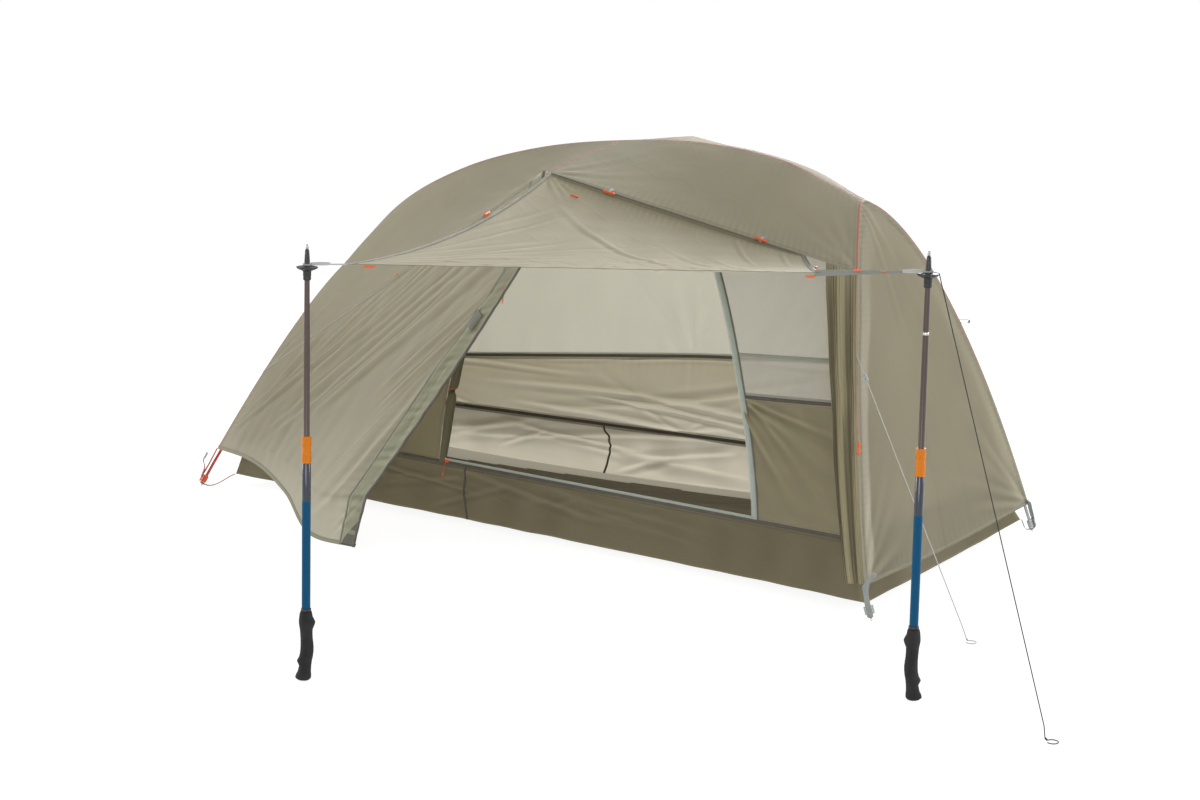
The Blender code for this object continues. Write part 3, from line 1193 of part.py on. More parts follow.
guy_start = between_heights(head_line, HEAD_GUY_HEIGHT, HEAD_GUY_HEIGHT - 0.05, 1)[0] + unit((0.75, -0.65, 0)) * 0.0024
guy_run = guyline("head_guyline", guy_start, HEAD_GUY_STAKE, "white_cord")
ring_middle = np.array(pole_frames["right"] @ Vector((0, 0, BASKET_HEIGHT + 0.0022 + GAP + STRAP_RING_HEIGHT / 2)))
away = unit([POLE_GUY_STAKE[0] - ring_middle[0], POLE_GUY_STAKE[1] - ring_middle[1], 0.0])
pole_guy_start = ring_middle + away * (FERRULE_RADIUS + 2 * GAP + STRAP_RING_WALL + GAP)
basket_edge = ring_middle + away * (BASKET_RADIUS + 0.004) + np.array([0.0, 0.0, -0.001])
guyline("pole_guyline", basket_edge, POLE_GUY_STAKE, "black_cord", leader=[pole_guy_start])
tensioner_frame = frame_along(guy_start + guy_run * TENSIONER_PLACE, guy_run, (0, -1, 0))
tensioner_body = box("tensioner_body", (TENSIONER_SIZE[2], TENSIONER_SIZE[1], TENSIONER_SIZE[0]), (0, 0, 0),
                     tensioner_frame, 0.001)
tensioner_hole = cylinder("tensioner_hole", CORD_RADIUS + GAP, 0.06,
                          tensioner_frame @ Matrix.Translation((0, 0, -0.03)), 12)
solid_from("guy_tensioner", tensioner_body, "grey_plastic", cut=[tensioner_hole])
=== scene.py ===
# Looks of the hiking tent: cloth, stitching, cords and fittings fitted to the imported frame.
# Metres, in the row's frame. A rail is a line of points where pieces of cloth meet.

import math
from functools import reduce

import bmesh
import bpy
import numpy as np
from mathutils import Matrix, Vector


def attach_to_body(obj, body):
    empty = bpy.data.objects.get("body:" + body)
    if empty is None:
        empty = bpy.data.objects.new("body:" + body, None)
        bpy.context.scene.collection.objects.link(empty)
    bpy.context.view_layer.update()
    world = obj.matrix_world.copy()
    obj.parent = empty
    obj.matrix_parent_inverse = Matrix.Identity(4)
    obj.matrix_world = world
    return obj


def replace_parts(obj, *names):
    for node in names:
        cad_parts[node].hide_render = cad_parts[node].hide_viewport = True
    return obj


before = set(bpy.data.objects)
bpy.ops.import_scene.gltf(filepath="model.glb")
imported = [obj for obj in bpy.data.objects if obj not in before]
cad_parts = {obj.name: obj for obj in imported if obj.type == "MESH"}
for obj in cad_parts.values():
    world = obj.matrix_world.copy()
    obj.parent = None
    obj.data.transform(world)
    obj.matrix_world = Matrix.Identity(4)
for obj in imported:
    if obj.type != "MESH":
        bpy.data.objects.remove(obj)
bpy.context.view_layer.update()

# Sizes repeated from the part's source

GAP = 0.0003
POLE_RADIUS = 0.00435
FLY_STAND = 0.013
HEAD_HUB = (0.834, 0.0, 0.965)
FOOT_HUB = (-0.92, 0.0, 0.7)
PEAK = (0.071, 0.0, 1.093)
SPINE_FOOT_VIA = [(-0.74, 0.0, 0.868), (-0.49, 0.0, 0.99), (-0.22, 0.0, 1.06)]
SPINE_HEAD_VIA = [(0.335, 0.0, 1.097), (0.586, 0.0, 1.062)]
LEGS = {"head_front": (HEAD_HUB, (1.152, 0.518), -1, (1.6, 1.1), 0.037),
    "head_rear": (HEAD_HUB, (1.152, 0.518), 1, (1.6, 1.1), 0.012), "foot_front": (FOOT_HUB, (-1.215, 0.44), -1,
    (1.25, 1.0), 0.0), "foot_rear": (FOOT_HUB, (-1.215, 0.44), 1, (1.25, 1.0), 0.0)}
BROW_FRONT = (0.1, -0.4, 1.035)
BROW_REAR = (0.076, 0.385, 1.083)
SEAM_HEIGHTS = {"head": 0.8, "foot": 0.352}
CORNER_HEIGHTS = {"head": 0.082, "foot": 0.115}
REAR_HEM_MIDDLE = (0.06, 0.498, 0.24)
REAR_DROP_VIA = [(0.074, 0.425, 0.75), (0.066, 0.468, 0.42)]
REAR_HEM_FOOT_VIA = (-0.56, 0.46, 0.172)
REAR_HEM_HEAD_VIA = (0.62, 0.5, 0.225)
HEM_MIDDLES = {"head": (1.105, 0.0, 0.06), "foot": (-1.165, 0.0, 0.08)}
ZIP_KNEE = (0.063, -0.47, 0.79)
ZIP_FOOT = (-0.36, -0.63, 0.125)
FLAP_CORNER = (-0.33, -0.712, 0.004)
STAKE_POINT = (-0.51, -0.687, 0.002)
LEFT_HEM_VIA = [(-0.98, -0.445, 0.115), (-0.72, -0.57, 0.075)]
BASKET_HEIGHT = 0.925
AWNING_LEFT = (0.374, -1.518, BASKET_HEIGHT)
AWNING_RIGHT = (1.265, -1.045, BASKET_HEIGHT - 0.004)
AWNING_SEAM_SHARE = 0.7
AWNING_EDGE_SHARE = 0.84
FLOOR_HEAD = (1.115, 0.485)
FLOOR_FOOT = (-1.125, 0.355)
TUB_HEAD = (1.065, 0.415, 0.167)
TUB_FOOT = (-1.095, 0.305, 0.185)
INNER_DROP = 0.046
INNER_HUBS = {"head": (0.79, 0.0, 0.925), "foot": (-0.865, 0.0, 0.69)}
INNER_LEG_STAND = 0.048
INNER_BROW_FRONT = (0.092, -0.335, 0.985)
INNER_BROW_REAR = (0.076, 0.325, 1.02)
INNER_SIDE_BULGE = 0.045
INNER_SIDE_RISE = 0.03
DOOR_MIDDLE = 0.585
DOOR_HALF_WIDTH = 0.2545
DOOR_HEIGHT = 0.88
DOOR_SHOULDER = 0.667
DOOR_POWER = 1.9
LOW_WALL_SHARE = 1 / 3
POCKET_TOP = 0.48
GROUND_TOP = 0.014
CORD_RADIUS = 0.0012
POLE_PLACES = {"left": ((0.296, -1.598, 0.0004), (0.33, -1.59, 0.973), (0.828, 0.561, 0.0)),
    "right": ((1.464, -0.964, 0.0004), (1.472, -0.961, 0.973), (-0.828, -0.561, 0.0))}
GRIP_HEIGHT = 0.159
TUBE_TOP = 0.4955
DARK_FOOT = TUBE_TOP - 0.085
COLLAR_TOP = 0.556
NECK_BOTTOM = BASKET_HEIGHT - 0.029
SHAFT_RADIUS = 0.0066
TUBE_RADIUS = 0.0096
TUBE_FOOT = 0.02
COLLAR_RADIUS = 0.0108
BASKET_RADIUS = 0.0235
FERRULE_RADIUS = 0.0065
FINE = 6
TUB_ROWS = 26
UP = np.array([0.0, 0.0, 1.0])
EDGES = ("near", "far", "left", "right")


# Camera

def in_scene(name, data):
    """A new object that holds the data, linked to the scene."""
    made = bpy.data.objects.new(name, data)
    bpy.context.scene.collection.objects.link(made)
    return made


def set_camera():
    data = bpy.data.cameras.new("camera")
    data.lens = 60.0
    data.sensor_width = 36.0
    data.clip_end = 60.0
    yaw, pitch = math.radians(34.1), math.radians(11.26)
    ahead = Vector((-math.sin(yaw) * math.cos(pitch), math.cos(yaw) * math.cos(pitch), -math.sin(pitch)))
    right = Vector((math.cos(yaw), math.sin(yaw), 0.0))
    turn = Matrix((right, right.cross(ahead), -ahead)).transposed().to_4x4()
    camera = in_scene("camera", data)
    camera.matrix_world = Matrix.Translation((3.209, -4.736, 1.476)) @ turn
    bpy.context.scene.camera = camera


set_camera()


# Lines and rails

def unit(vector):
    vector = np.asarray(vector, float)
    return vector / np.linalg.norm(vector)


def shares(count):
    return np.linspace(0.0, 1.0, count)


def lengths(points, axis=0):
    """How far along a line, or along a grid's columns or rows, each point lies."""
    steps = np.cumsum(np.linalg.norm(np.diff(points, axis=axis), axis=-1), axis=axis)
    return np.concatenate([np.zeros_like(steps.take([0], axis)), steps], axis=axis)


def at_lengths(points, along, wanted):
    """The places on a line at the wanted distances along it."""
    return np.stack([np.interp(wanted, along, points[:, axis]) for axis in range(3)], axis=-1)


def evenly(points, cells):
    points = np.asarray(points, float)
    along = lengths(points)
    return at_lengths(points, along, np.linspace(0.0, along[-1], cells + 1))


def smooth_line(points, cells):
    points = np.asarray(points, float)
    knots = lengths(points)
    slopes = np.gradient(points, knots, axis=0)
    dense = []
    for index in range(len(points) - 1):
        span = knots[index + 1] - knots[index]
        for part in np.linspace(0.0, 1.0, 24, endpoint=index == len(points) - 2):
            start = (1 + 2 * part) * (1 - part) ** 2 * points[index]
            end = part ** 2 * (3 - 2 * part) * points[index + 1]
            leave = part * (1 - part) ** 2 * span * slopes[index]
            arrive = part ** 2 * (part - 1) * span * slopes[index + 1]
            dense.append(start + end + leave + arrive)
    return evenly(dense, cells)


def straight(start, end, cells):
    return evenly([start, end], cells)


def joined(first, second):
    return np.vstack([first, second[1:]])


def leg_line(hub, tip, side, curve, pull):
    share = np.sin(shares(400) * math.pi / 2)
    height = hub[2] * (1.0 - share ** curve[0]) ** (1.0 / curve[1])
    x = hub[0] + (tip[0] - hub[0]) * share
    x = x - pull * np.sin(np.pi * np.clip(height / hub[2], 0.0, 1.0)) ** 0.4
    return np.stack([x, side * tip[1] * share, height], axis=1)


def between_heights(line, high, low, cells):
    upward = line[::-1]
    inside = (line[:, 2] < high) & (line[:, 2] > low)
    top, bottom = [at_lengths(upward, upward[:, 2], height) for height in (high, low)]
    return evenly(np.vstack([top, line[inside], bottom]), cells)


def shifted_in(line, distance, core):
    moved = []
    for point, slope in zip(line, np.gradient(line, axis=0)):
        along = unit(slope)
        aim = np.asarray(core(point), float) - point
        moved.append(point + unit(aim - along * aim.dot(along)) * distance)
    return np.array(moved)


def patch(near, far, left, right):
    """A surface grid between four rails: near and far run across, left and right run down."""
    across = shares(len(near))[None, :, None]
    down = shares(len(left))[:, None, None]
    rows = (1 - down) * near[None] + down * far[None]
    columns = (1 - across) * left[:, None] + across * right[:, None]
    corners = (1 - down) * ((1 - across) * near[0] + across * near[-1])
    corners = corners + down * ((1 - across) * far[0] + across * far[-1])
    return rows + columns - corners


def refined(grid, rows, columns):
    """The grid with more rows and columns, on the same surface."""
    old_rows, old_columns = shares(grid.shape[0]), shares(grid.shape[1])
    tall = np.stack([at_lengths(column, old_rows, shares(rows + 1)) for column in grid.transpose(1, 0, 2)],
        axis=1)
    return np.stack([at_lengths(row, old_columns, shares(columns + 1)) for row in tall])


def square_to(grid):
    """Unit directions square to the grid's surface."""
    square = np.cross(np.gradient(grid, axis=1), np.gradient(grid, axis=0))
    return square / np.maximum(np.linalg.norm(square, axis=2, keepdims=True), 1e-12)


def outward_square(grid, core=(0.1, 0.0, 0.3)):
    """The same directions, turned to the tent's outer side."""
    square = square_to(grid)
    turn = np.sign(np.sum(square * (grid - np.asarray(core))))
    return square * turn


foot_rail = smooth_line([FOOT_HUB, *SPINE_FOOT_VIA, PEAK, SPINE_HEAD_VIA[0]], 400)
foot_rail = foot_rail[foot_rail[:, 0] <= PEAK[0]]
head_rail = smooth_line([SPINE_FOOT_VIA[-1], PEAK, *SPINE_HEAD_VIA, HEAD_HUB], 400)
head_rail = head_rail[head_rail[:, 0] >= PEAK[0]]
spine_foot = evenly(np.vstack([foot_rail, [PEAK]])[::-1], 12 * FINE)
spine_head = evenly(np.vstack([[PEAK], head_rail]), 10 * FINE)
leg_lines = {name: leg_line(*values) for name, values in LEGS.items()}
leg_upper = {}
leg_lower = {}
for leg_name, line in leg_lines.items():
    end = leg_name.split("_")[0]
    leg_upper[leg_name] = between_heights(line, LEGS[leg_name][0][2], SEAM_HEIGHTS[end], 4 * FINE)
    leg_lower[leg_name] = between_heights(line, SEAM_HEIGHTS[end], CORNER_HEIGHTS[end], 10 * FINE)
fly_legs = {name: joined(leg_upper[name], leg_lower[name]) for name in LEGS}
brow_front = straight(PEAK, BROW_FRONT, 4 * FINE)
brow_rear = straight(PEAK, BROW_REAR, 4 * FINE)
head_seam = straight(BROW_FRONT, leg_lower["head_front"][0], 10 * FINE)
foot_seam = straight(BROW_FRONT, leg_lower["foot_front"][0], 12 * FINE)
zip_edge = joined(straight(BROW_FRONT, ZIP_KNEE, 3 * FINE), joined(straight(ZIP_KNEE, ZIP_FOOT, 6 * FINE),
    straight(ZIP_FOOT, FLAP_CORNER, FINE)))
left_hem = smooth_line([fly_legs["foot_front"][-1], *LEFT_HEM_VIA, STAKE_POINT, FLAP_CORNER], 12 * FINE)
rear_drop = smooth_line([BROW_REAR, *REAR_DROP_VIA, REAR_HEM_MIDDLE], 10 * FINE)
rear_middle = joined(brow_rear, rear_drop)
rear_hem_foot = smooth_line([REAR_HEM_MIDDLE, REAR_HEM_FOOT_VIA, fly_legs["foot_rear"][-1]], 12 * FINE)
rear_hem_head = smooth_line([REAR_HEM_MIDDLE, REAR_HEM_HEAD_VIA, fly_legs["head_rear"][-1]], 10 * FINE)


# Materials

class Recipe:
    """Short ways to add nodes to a material or to a shared group."""
    def __init__(self, tree):
        self.tree = tree

    def add(self, kind, **settings):
        made = self.tree.nodes.new("ShaderNode" + kind)
        for key, value in settings.items():
            setattr(made, key, value)
        return made

    def put(self, socket, value):
        """A value, colour or output goes into an input."""
        if isinstance(value, bpy.types.NodeSocket):
            self.tree.links.new(value, socket)
        elif isinstance(value, tuple) and len(value) == 3 and socket.type == "RGBA":
            socket.default_value = (*value, 1.0)
        else:
            socket.default_value = value

    def fill(self, node, values):
        """Values go into a node's inputs, by name or number. Gives the node's first output."""
        for key, value in values.items():
            self.put(node.inputs[key], value)
        return node.outputs[0]

    def maths(self, operation, *values, clamp=False):
        return self.fill(self.add("Math", operation=operation, use_clamp=clamp), dict(enumerate(values)))

    def span(self, *values):
        """A smooth step of a value from low to high, and the results at both ends if not 0 and 1."""
        return self.fill(self.add("MapRange", interpolation_type="SMOOTHSTEP"), dict(enumerate(values)))

    def stripes(self, value, pitch):
        """0 on each line of a row of lines and 0.5 midway between two."""
        return self.maths("PINGPONG", self.maths("DIVIDE", value, pitch), 0.5)

    def noise(self, vector, scale, detail=3.0, roughness=0.5, stretch=None, distortion=0.0):
        if stretch:
            vector = self.fill(self.add("Mapping"), {"Vector": vector, "Scale": stretch})
        made = self.add("TexNoise")
        self.fill(made, {"Vector": vector, "Scale": scale, "Detail": detail, "Roughness": roughness,
            "Distortion": distortion})
        return made.outputs["Fac"]

    def blend(self, share, first, second, mode="MIX"):
        made = self.add("Mix", data_type="RGBA", blend_type=mode)
        self.fill(made, {0: share, 6: first, 7: second})
        return made.outputs[2]

    def mixed(self, share, first, second):
        return self.fill(self.add("MixShader"), {0: share, 1: first, 2: second})

    def bump(self, height, distance, **normal):
        return self.fill(self.add("Bump"), {"Strength": 1.0, "Distance": distance, "Height": height, **normal})

    def use(self, group, **values):
        made = self.add("Group", node_tree=group)
        self.fill(made, values)
        return made.outputs

    def parts(self, vector):
        made = self.add("SeparateXYZ")
        self.put(made.inputs[0], vector)
        return made.outputs

    def attribute(self, name):
        return self.add("Attribute", attribute_type="GEOMETRY", attribute_name=name).outputs

    def uv(self):
        return self.add("UVMap", uv_map="flat").outputs[0]

    def place(self):
        return self.add("TexCoord").outputs["Object"]

    def seen(self):
        """1 for rays from the camera, a mirror or glass, and 0 for rays that only light."""
        rays = self.add("LightPath").outputs
        other = self.maths("MAXIMUM", rays["Is Glossy Ray"], rays["Is Transmission Ray"])
        return self.maths("MAXIMUM", rays["Is Camera Ray"], other)


def shared_group(name, inputs, outputs, fill):
    """A node group filled by a function that returns its outputs. An input without a value is a vector."""
    group = bpy.data.node_groups.new(name, "ShaderNodeTree")
    for label, value in inputs.items():
        kind = "NodeSocketVector" if value is None else "NodeSocketFloat"
        socket = group.interface.new_socket(label, in_out="INPUT", socket_type=kind)
        if value is not None:
            socket.default_value = value
    for label in outputs:
        group.interface.new_socket(label, in_out="OUTPUT", socket_type="NodeSocketFloat")
    entry, leave = group.nodes.new("NodeGroupInput"), group.nodes.new("NodeGroupOutput")
    for socket, value in zip(leave.inputs, fill(Recipe(group), entry.outputs)):
        group.links.new(value, socket)
    return group


def fill_ripstop(make, given):
    """Square ripstop threads over a plain weave, from flat cloth coordinates in metres."""
    lines, weaves = [], []
    for part in make.parts(given["Flat"])[:2]:
        lines.append(make.span(make.stripes(part, given["Cell"]), 0.035, 0.075, 1.0, 0.0))
        weaves.append(make.maths("SINE", make.maths("MULTIPLY", part, math.tau / 0.0008)))
    return make.maths("MAXIMUM", *lines), make.maths("MULTIPLY_ADD", make.maths("MULTIPLY", *weaves), 0.5, 0.5)


def fill_seam(make, given):
    """Two rows of stitches and the step of a folded edge, from the distance to that edge."""
    rows = [make.span(make.maths("ABSOLUTE", make.maths("SUBTRACT", given["Distance"], row)), 0.0004, 0.0008,
        1.0, 0.0) for row in (0.0025, 0.0095)]
    dash = make.span(make.stripes(given["Along"], 0.0032), 0.1, 0.16)
    fold = make.span(given["Distance"], 0.0112, 0.0128, 1.0, 0.0)
    return make.maths("MULTIPLY", make.maths("MAXIMUM", *rows), dash), fold


def fill_edges(make, given):
    """Stitches and folds along all four edges of a panel."""
    edges = make.attribute("edges")
    colours = make.add("SeparateColor")
    make.put(colours.inputs[0], edges["Color"])
    along = make.parts(given["Flat"])
    seams = [make.use(seam_group, Distance=distance, Along=along[axis]) for distance,
        axis in zip((*colours.outputs, edges["Alpha"]), (0, 0, 1, 1))]
    return [reduce(lambda first, second: make.maths("MAXIMUM", first, second),
        values) for values in zip(*seams)]


def fill_creases(make, given):
    """The small creases that thin cloth keeps from being packed, as a height from 0 to 1."""
    flat = given["Flat"]
    broad = make.noise(flat, 9.0, 2.0, 0.5, distortion=0.6)
    wander = make.add("TexNoise")
    make.fill(wander, {"Vector": flat, "Scale": 8.0})
    shaken = make.fill(make.add("VectorMath", operation="MULTIPLY_ADD"),
        {0: wander.outputs["Color"], 1: (0.04, 0.04, 0.0), 2: flat})
    crumple = make.add("TexVoronoi", feature="DISTANCE_TO_EDGE")
    make.fill(crumple, {"Vector": shaken, "Scale": 11.0})
    ridges = make.span(crumple.outputs["Distance"], 0.0, 0.12, 1.0, 0.0)
    height = make.maths("MULTIPLY_ADD", ridges, given["Packed"], make.maths("MULTIPLY", broad, 0.8))
    return (make.maths("MULTIPLY_ADD", make.noise(flat, 70.0, 3.0, 0.6), 0.12, height),)


ripstop_group = shared_group("ripstop", {"Flat": None, "Cell": 0.005}, ("Grid", "Weave"), fill_ripstop)
seam_group = shared_group("seam", {"Distance": 1.0, "Along": 0.0}, ("Stitch", "Fold"), fill_seam)
edges_group = shared_group("panel edges", {"Flat": None}, ("Stitch", "Fold"), fill_edges)
creases_group = shared_group("packed creases", {"Flat": None, "Packed": 0.15}, ("Height",), fill_creases)


def new_material(name):
    made = bpy.data.materials.new(name)
    made.use_nodes = True
    nodes = made.node_tree.nodes
    return made, Recipe(made.node_tree), nodes["Principled BSDF"], nodes["Material Output"].inputs["Surface"]


def tinted(colour, gain, lift=0.0):
    return tuple(min(part * gain + lift, 1.0) for part in colour)


def cloth_material(name, colour, glow, thin=0.4, sheen=0.15, packed=0.12, pole_shadow=False, gloss=0.2, folds=0.17):
    """Thin coated cloth that lets light through: ripstop, stitched edges, creases, painted shade in fold
    valleys and painted light on fold ridges, and a painted red shadow where a pole lies behind it.
    """
    made, make, shader, surface = new_material(name)
    flat = make.uv()
    grid, weave = make.use(ripstop_group, Flat=flat)
    stitch, fold = make.use(edges_group, Flat=flat)
    height = make.use(creases_group, Flat=flat, Packed=packed)[0]
    worn = make.span(make.noise(make.place(), 3.0, 4.0, 0.55), 0.35, 0.7)
    tone = make.blend(worn, tinted(colour, 0.965), tinted(colour, 1.035))
    for mask, share, gain in ((grid, 0.1, 0.72), (fold, 0.22, 0.6), (stitch, 0.45, 0.5)):
        tone = make.blend(make.maths("MULTIPLY", mask, share), tone, tinted(colour, gain))
    through = make.blend(fold, glow, tinted(glow, 0.7))
    # Painted shade and light: darker where the relief attribute finds a fold valley and lighter on a ridge, in
    # both the surface and the see-through colour; folds sets how strong it is.
    painted_fold_shade = make.blend(make.span(make.attribute("relief")["Fac"], -0.8, 0.8),
        tuple(1 - folds * part for part in (1.15, 1.18, 1.22)), (1 + folds * 0.85,) * 3)
    tone, through = [make.blend(1.0, each, painted_fold_shade, mode="MULTIPLY") for each in (tone, through)]
    # Painted shadow: a red band where a pole lies behind the cloth, in the surface and in the see-through
    # colour.
    if pole_shadow:
        near = make.span(make.attribute("pole_shadow")["Fac"], 0.0026, 0.0056, 1.0, 0.0)
        tone = make.blend(make.maths("MULTIPLY", near, 0.8), tone, (0.56, 0.17, 0.13))
        through = make.blend(make.maths("MULTIPLY", near, 0.6), through, (0.62, 0.24, 0.18))
    threads = make.maths("MULTIPLY_ADD", grid, 0.6, make.maths("MULTIPLY", weave, 0.3))
    seams = make.maths("SUBTRACT", fold, make.maths("MULTIPLY", stitch, 0.7))
    bump = make.bump(threads, 0.00008, Normal=make.bump(height, 0.0024))
    bump = make.bump(seams, 0.0006, Normal=bump)
    make.fill(shader, {"Base Color": tone, "Roughness": 0.55, "Sheen Weight": sheen, "Sheen Roughness": 0.4,
        "Specular IOR Level": gloss, "Normal": bump})
    behind = make.fill(make.add("BsdfTranslucent"), {"Color": through, "Normal": bump})
    light = make.maths("MULTIPLY_ADD", fold, -0.55 * thin, thin)
    make.put(surface, make.mixed(light, shader.outputs[0], behind))
    return made


def net_material(name, colour, cover):
    """Insect net: fine crossed threads with holes between them, denser at its stitched edges."""
    made, make, shader, surface = new_material(name)
    flat = make.uv()
    thread = make.maths("MAXIMUM", *[make.span(make.stripes(part, 0.0011), 0.1, 0.17, 1.0,
        0.0) for part in make.parts(flat)[:2]])
    stitch, fold = make.use(edges_group, Flat=flat)
    slack = make.noise(flat, 16.0, 2.0, 0.5, stretch=(1.0, 0.35, 1.0))
    solid = make.maths("MULTIPLY_ADD", thread, 1.0 - cover, cover)
    solid = make.maths("MAXIMUM", solid, make.maths("MULTIPLY", fold, 0.95), clamp=True)
    tone = make.blend(make.span(slack, 0.3, 0.7), tinted(colour, 0.94), colour)
    tone = make.blend(fold, tone, tinted(colour, 0.55))
    bump = make.bump(make.maths("MULTIPLY_ADD", slack, 0.6, make.maths("MULTIPLY", stitch, -0.2)), 0.002)
    make.fill(shader, {"Base Color": tone, "Roughness": 0.7, "Sheen Weight": 0.2, "Normal": bump})
    behind = make.fill(make.add("BsdfTranslucent"), {"Color": tone})
    woven = make.mixed(0.5, shader.outputs[0], behind)
    make.put(surface, make.mixed(solid, make.add("BsdfTransparent").outputs[0], woven))
    return made


def woven_material(name, colour, slant=0.0, rib=0.001):
    """Webbing, tape or cord: slanted ribs in the piece's own flat coordinates."""
    made, make, shader = new_material(name)[:3]
    across, along = make.parts(make.uv())[:2]
    weave = make.maths("MULTIPLY", *[make.stripes(make.maths("MULTIPLY_ADD", across, lean, along),
        rib) for lean in (slant, -slant)])
    dirt = make.noise(make.place(), 40.0, 4.0, 0.6)
    tone = make.blend(make.span(weave, 0.0, 0.2), tinted(colour, 1 - 0.35), colour)
    tone = make.blend(make.span(dirt, 0.45, 0.75, 0.0, 0.25), tone, tinted(colour, 0.6))
    make.fill(shader, {"Base Color": tone, "Normal": make.bump(weave, rib * 0.5), "Sheen Weight": 0.3,
        "Roughness": make.span(dirt, 0.3, 0.8, 0.6, 0.8)})
    return made


def hard_material(name, colour, rough=0.4, metallic=0.0, grain=0.0004, scale=300.0, wear=0.15, coat=0.0,
        clear=0.0, shine=0.5):
    """Moulded plastic, foam or metal: fine grain, paler worn places, uneven gloss."""
    made, make, shader = new_material(name)[:3]
    place = make.place()
    fine = make.noise(place, scale, 4.0, 0.6)
    marks = make.noise(place, 28.0, 5.0, 0.65)
    tone = make.blend(make.span(marks, 0.52, 0.78, 0.0, wear), colour, tinted(colour, 1.5, 0.03))
    tone = make.blend(make.span(fine, 0.3, 0.7, 0.0, 0.25), tone, tinted(colour, 0.8))
    make.fill(shader, {"Base Color": tone, "Normal": make.bump(fine, grain), "Metallic": metallic,
        "Roughness": make.span(marks, 0.3, 0.75, max(rough - 0.08, 0.05), rough + 0.1), "Coat Weight": coat,
        "Transmission Weight": clear, "Specular IOR Level": shine})
    return made


fly_cloth = cloth_material("fly silicone nylon", (0.402, 0.376, 0.278), (0.65, 0.625, 0.53), thin=0.5,
    sheen=0.04, gloss=0.15, pole_shadow=True)
# Painted shade: a darker copy of the fly's cloth for the awning, whose upward face takes more light.
shaded_awning_cloth = cloth_material("awning silicone nylon", (0.35, 0.322, 0.22), (0.585, 0.55, 0.435), thin=0.5,
    sheen=0.04, gloss=0.12)
flap_cloth = cloth_material("storm flap nylon", (0.36, 0.365, 0.27), (0.62, 0.62, 0.48), thin=0.5, folds=0.13)
door_cloth = cloth_material("door panel nylon", (0.365, 0.33, 0.215), (0.47, 0.425, 0.3), thin=0.35, folds=0.4)
wall_cloth = cloth_material("inner wall nylon", (0.43, 0.395, 0.305), (0.66, 0.62, 0.52), thin=0.6, packed=0.25)
tub_cloth = cloth_material("floor nylon", (0.182, 0.165, 0.109), (0.5, 0.465, 0.375), thin=0.55, packed=0.2,
    gloss=0.07)
ground_cloth = cloth_material("ground nylon", (0.15, 0.136, 0.092), (0.12, 0.11, 0.08), thin=0.12, packed=0.2,
    gloss=0.07)
pocket_cloth = cloth_material("pocket nylon", (0.32, 0.29, 0.197), (0.42, 0.37, 0.26), thin=0.45, packed=0.2)
pale_net = net_material("pale net", (0.72, 0.72, 0.68), 0.34)
trim_tape = woven_material("dark trim tape", (0.078, 0.066, 0.044), rib=0.0012)
dark_tape = woven_material("dark zip tape", (0.135, 0.13, 0.095))
trim_cloth = cloth_material("corner patch cloth", (0.11, 0.1, 0.07), (0.1, 0.09, 0.06), thin=0.1)
pale_seam_tape = woven_material("pale seam tape", (0.33, 0.345, 0.28))
pale_hem_tape = woven_material("pale hem tape", (0.4, 0.375, 0.275))
pale_thread = woven_material("thread", (0.42, 0.4, 0.3), rib=0.0006, slant=0.9)
seam_tape = woven_material("seam tape", (0.2, 0.185, 0.135))
pale_tape = woven_material("pale zip tape", (0.42, 0.47, 0.42))
fly_tape = woven_material("fly tape", (0.3, 0.285, 0.21))
strap_webbing = woven_material("awning strap webbing", (0.34, 0.365, 0.315), rib=0.0012, slant=0.5)
white_webbing = woven_material("white webbing", (0.66, 0.68, 0.67), rib=0.0012, slant=0.5)
rolled_cloth = cloth_material("rolled door cloth", (0.15, 0.14, 0.088), (0.3, 0.28, 0.19), thin=0.35,
    packed=0.3, folds=0.35)
grey_webbing = woven_material("grey webbing", (0.4, 0.43, 0.41), rib=0.0018, slant=0.5)
red_webbing = woven_material("red webbing", (0.56, 0.055, 0.022), rib=0.0018, slant=0.5)
pale_cord = woven_material("pale cord", (0.62, 0.63, 0.6), rib=0.0022, slant=0.9)
black_cord = woven_material("black cord", (0.006, 0.006, 0.006), rib=0.0022, slant=0.9)
orange_cord = woven_material("orange cord", (0.8, 0.12, 0.02), rib=0.0018, slant=0.9)
orange_plastic = hard_material("orange plastic", (0.83, 0.115, 0.01), rough=0.35)
grey_plastic = hard_material("grey plastic", (0.4, 0.43, 0.43), rough=0.4)
clear_orange = hard_material("collar plastic", (0.76, 0.22, 0.002), rough=0.26, coat=0.05, clear=0.1, wear=0.05,
    shine=0.25)
black_plastic = hard_material("black plastic", (0.014, 0.014, 0.014), rough=0.42)
zip_teeth = hard_material("zip coil", (0.1, 0.095, 0.07), rough=0.45)
cloth_teeth = hard_material("fly zip coil", (0.29, 0.275, 0.2), rough=0.5)
pale_teeth = hard_material("pale zip coil", (0.5, 0.55, 0.5), rough=0.45)
grey_pole = hard_material("grey anodised pole", (0.36, 0.37, 0.38), rough=0.3, metallic=0.75, grain=0.00005)
red_pole = hard_material("red anodised pole", (0.4, 0.045, 0.025), rough=0.3, metallic=0.75, grain=0.00005)
bare_metal = hard_material("bare metal", (0.62, 0.62, 0.6), rough=0.25, metallic=1.0, grain=0.0001)
carbide = hard_material("carbide", (0.35, 0.33, 0.32), rough=0.35, metallic=1.0)
grip_foam = hard_material("grip foam", (0.011, 0.011, 0.011), rough=0.85, grain=0.0009, scale=900.0)
blue_tube = hard_material("blue tube", (0.003, 0.078, 0.178), rough=0.4, coat=0.04, grain=0.00005, wear=0.05,
    shine=0.12)
navy_tube = hard_material("navy tube", (0.006, 0.014, 0.035), rough=0.28, coat=0.5, grain=0.00005)
brown_shaft = hard_material("brown shaft", (0.085, 0.06, 0.052), rough=0.35, metallic=0.3, grain=0.0001)


# Meshes

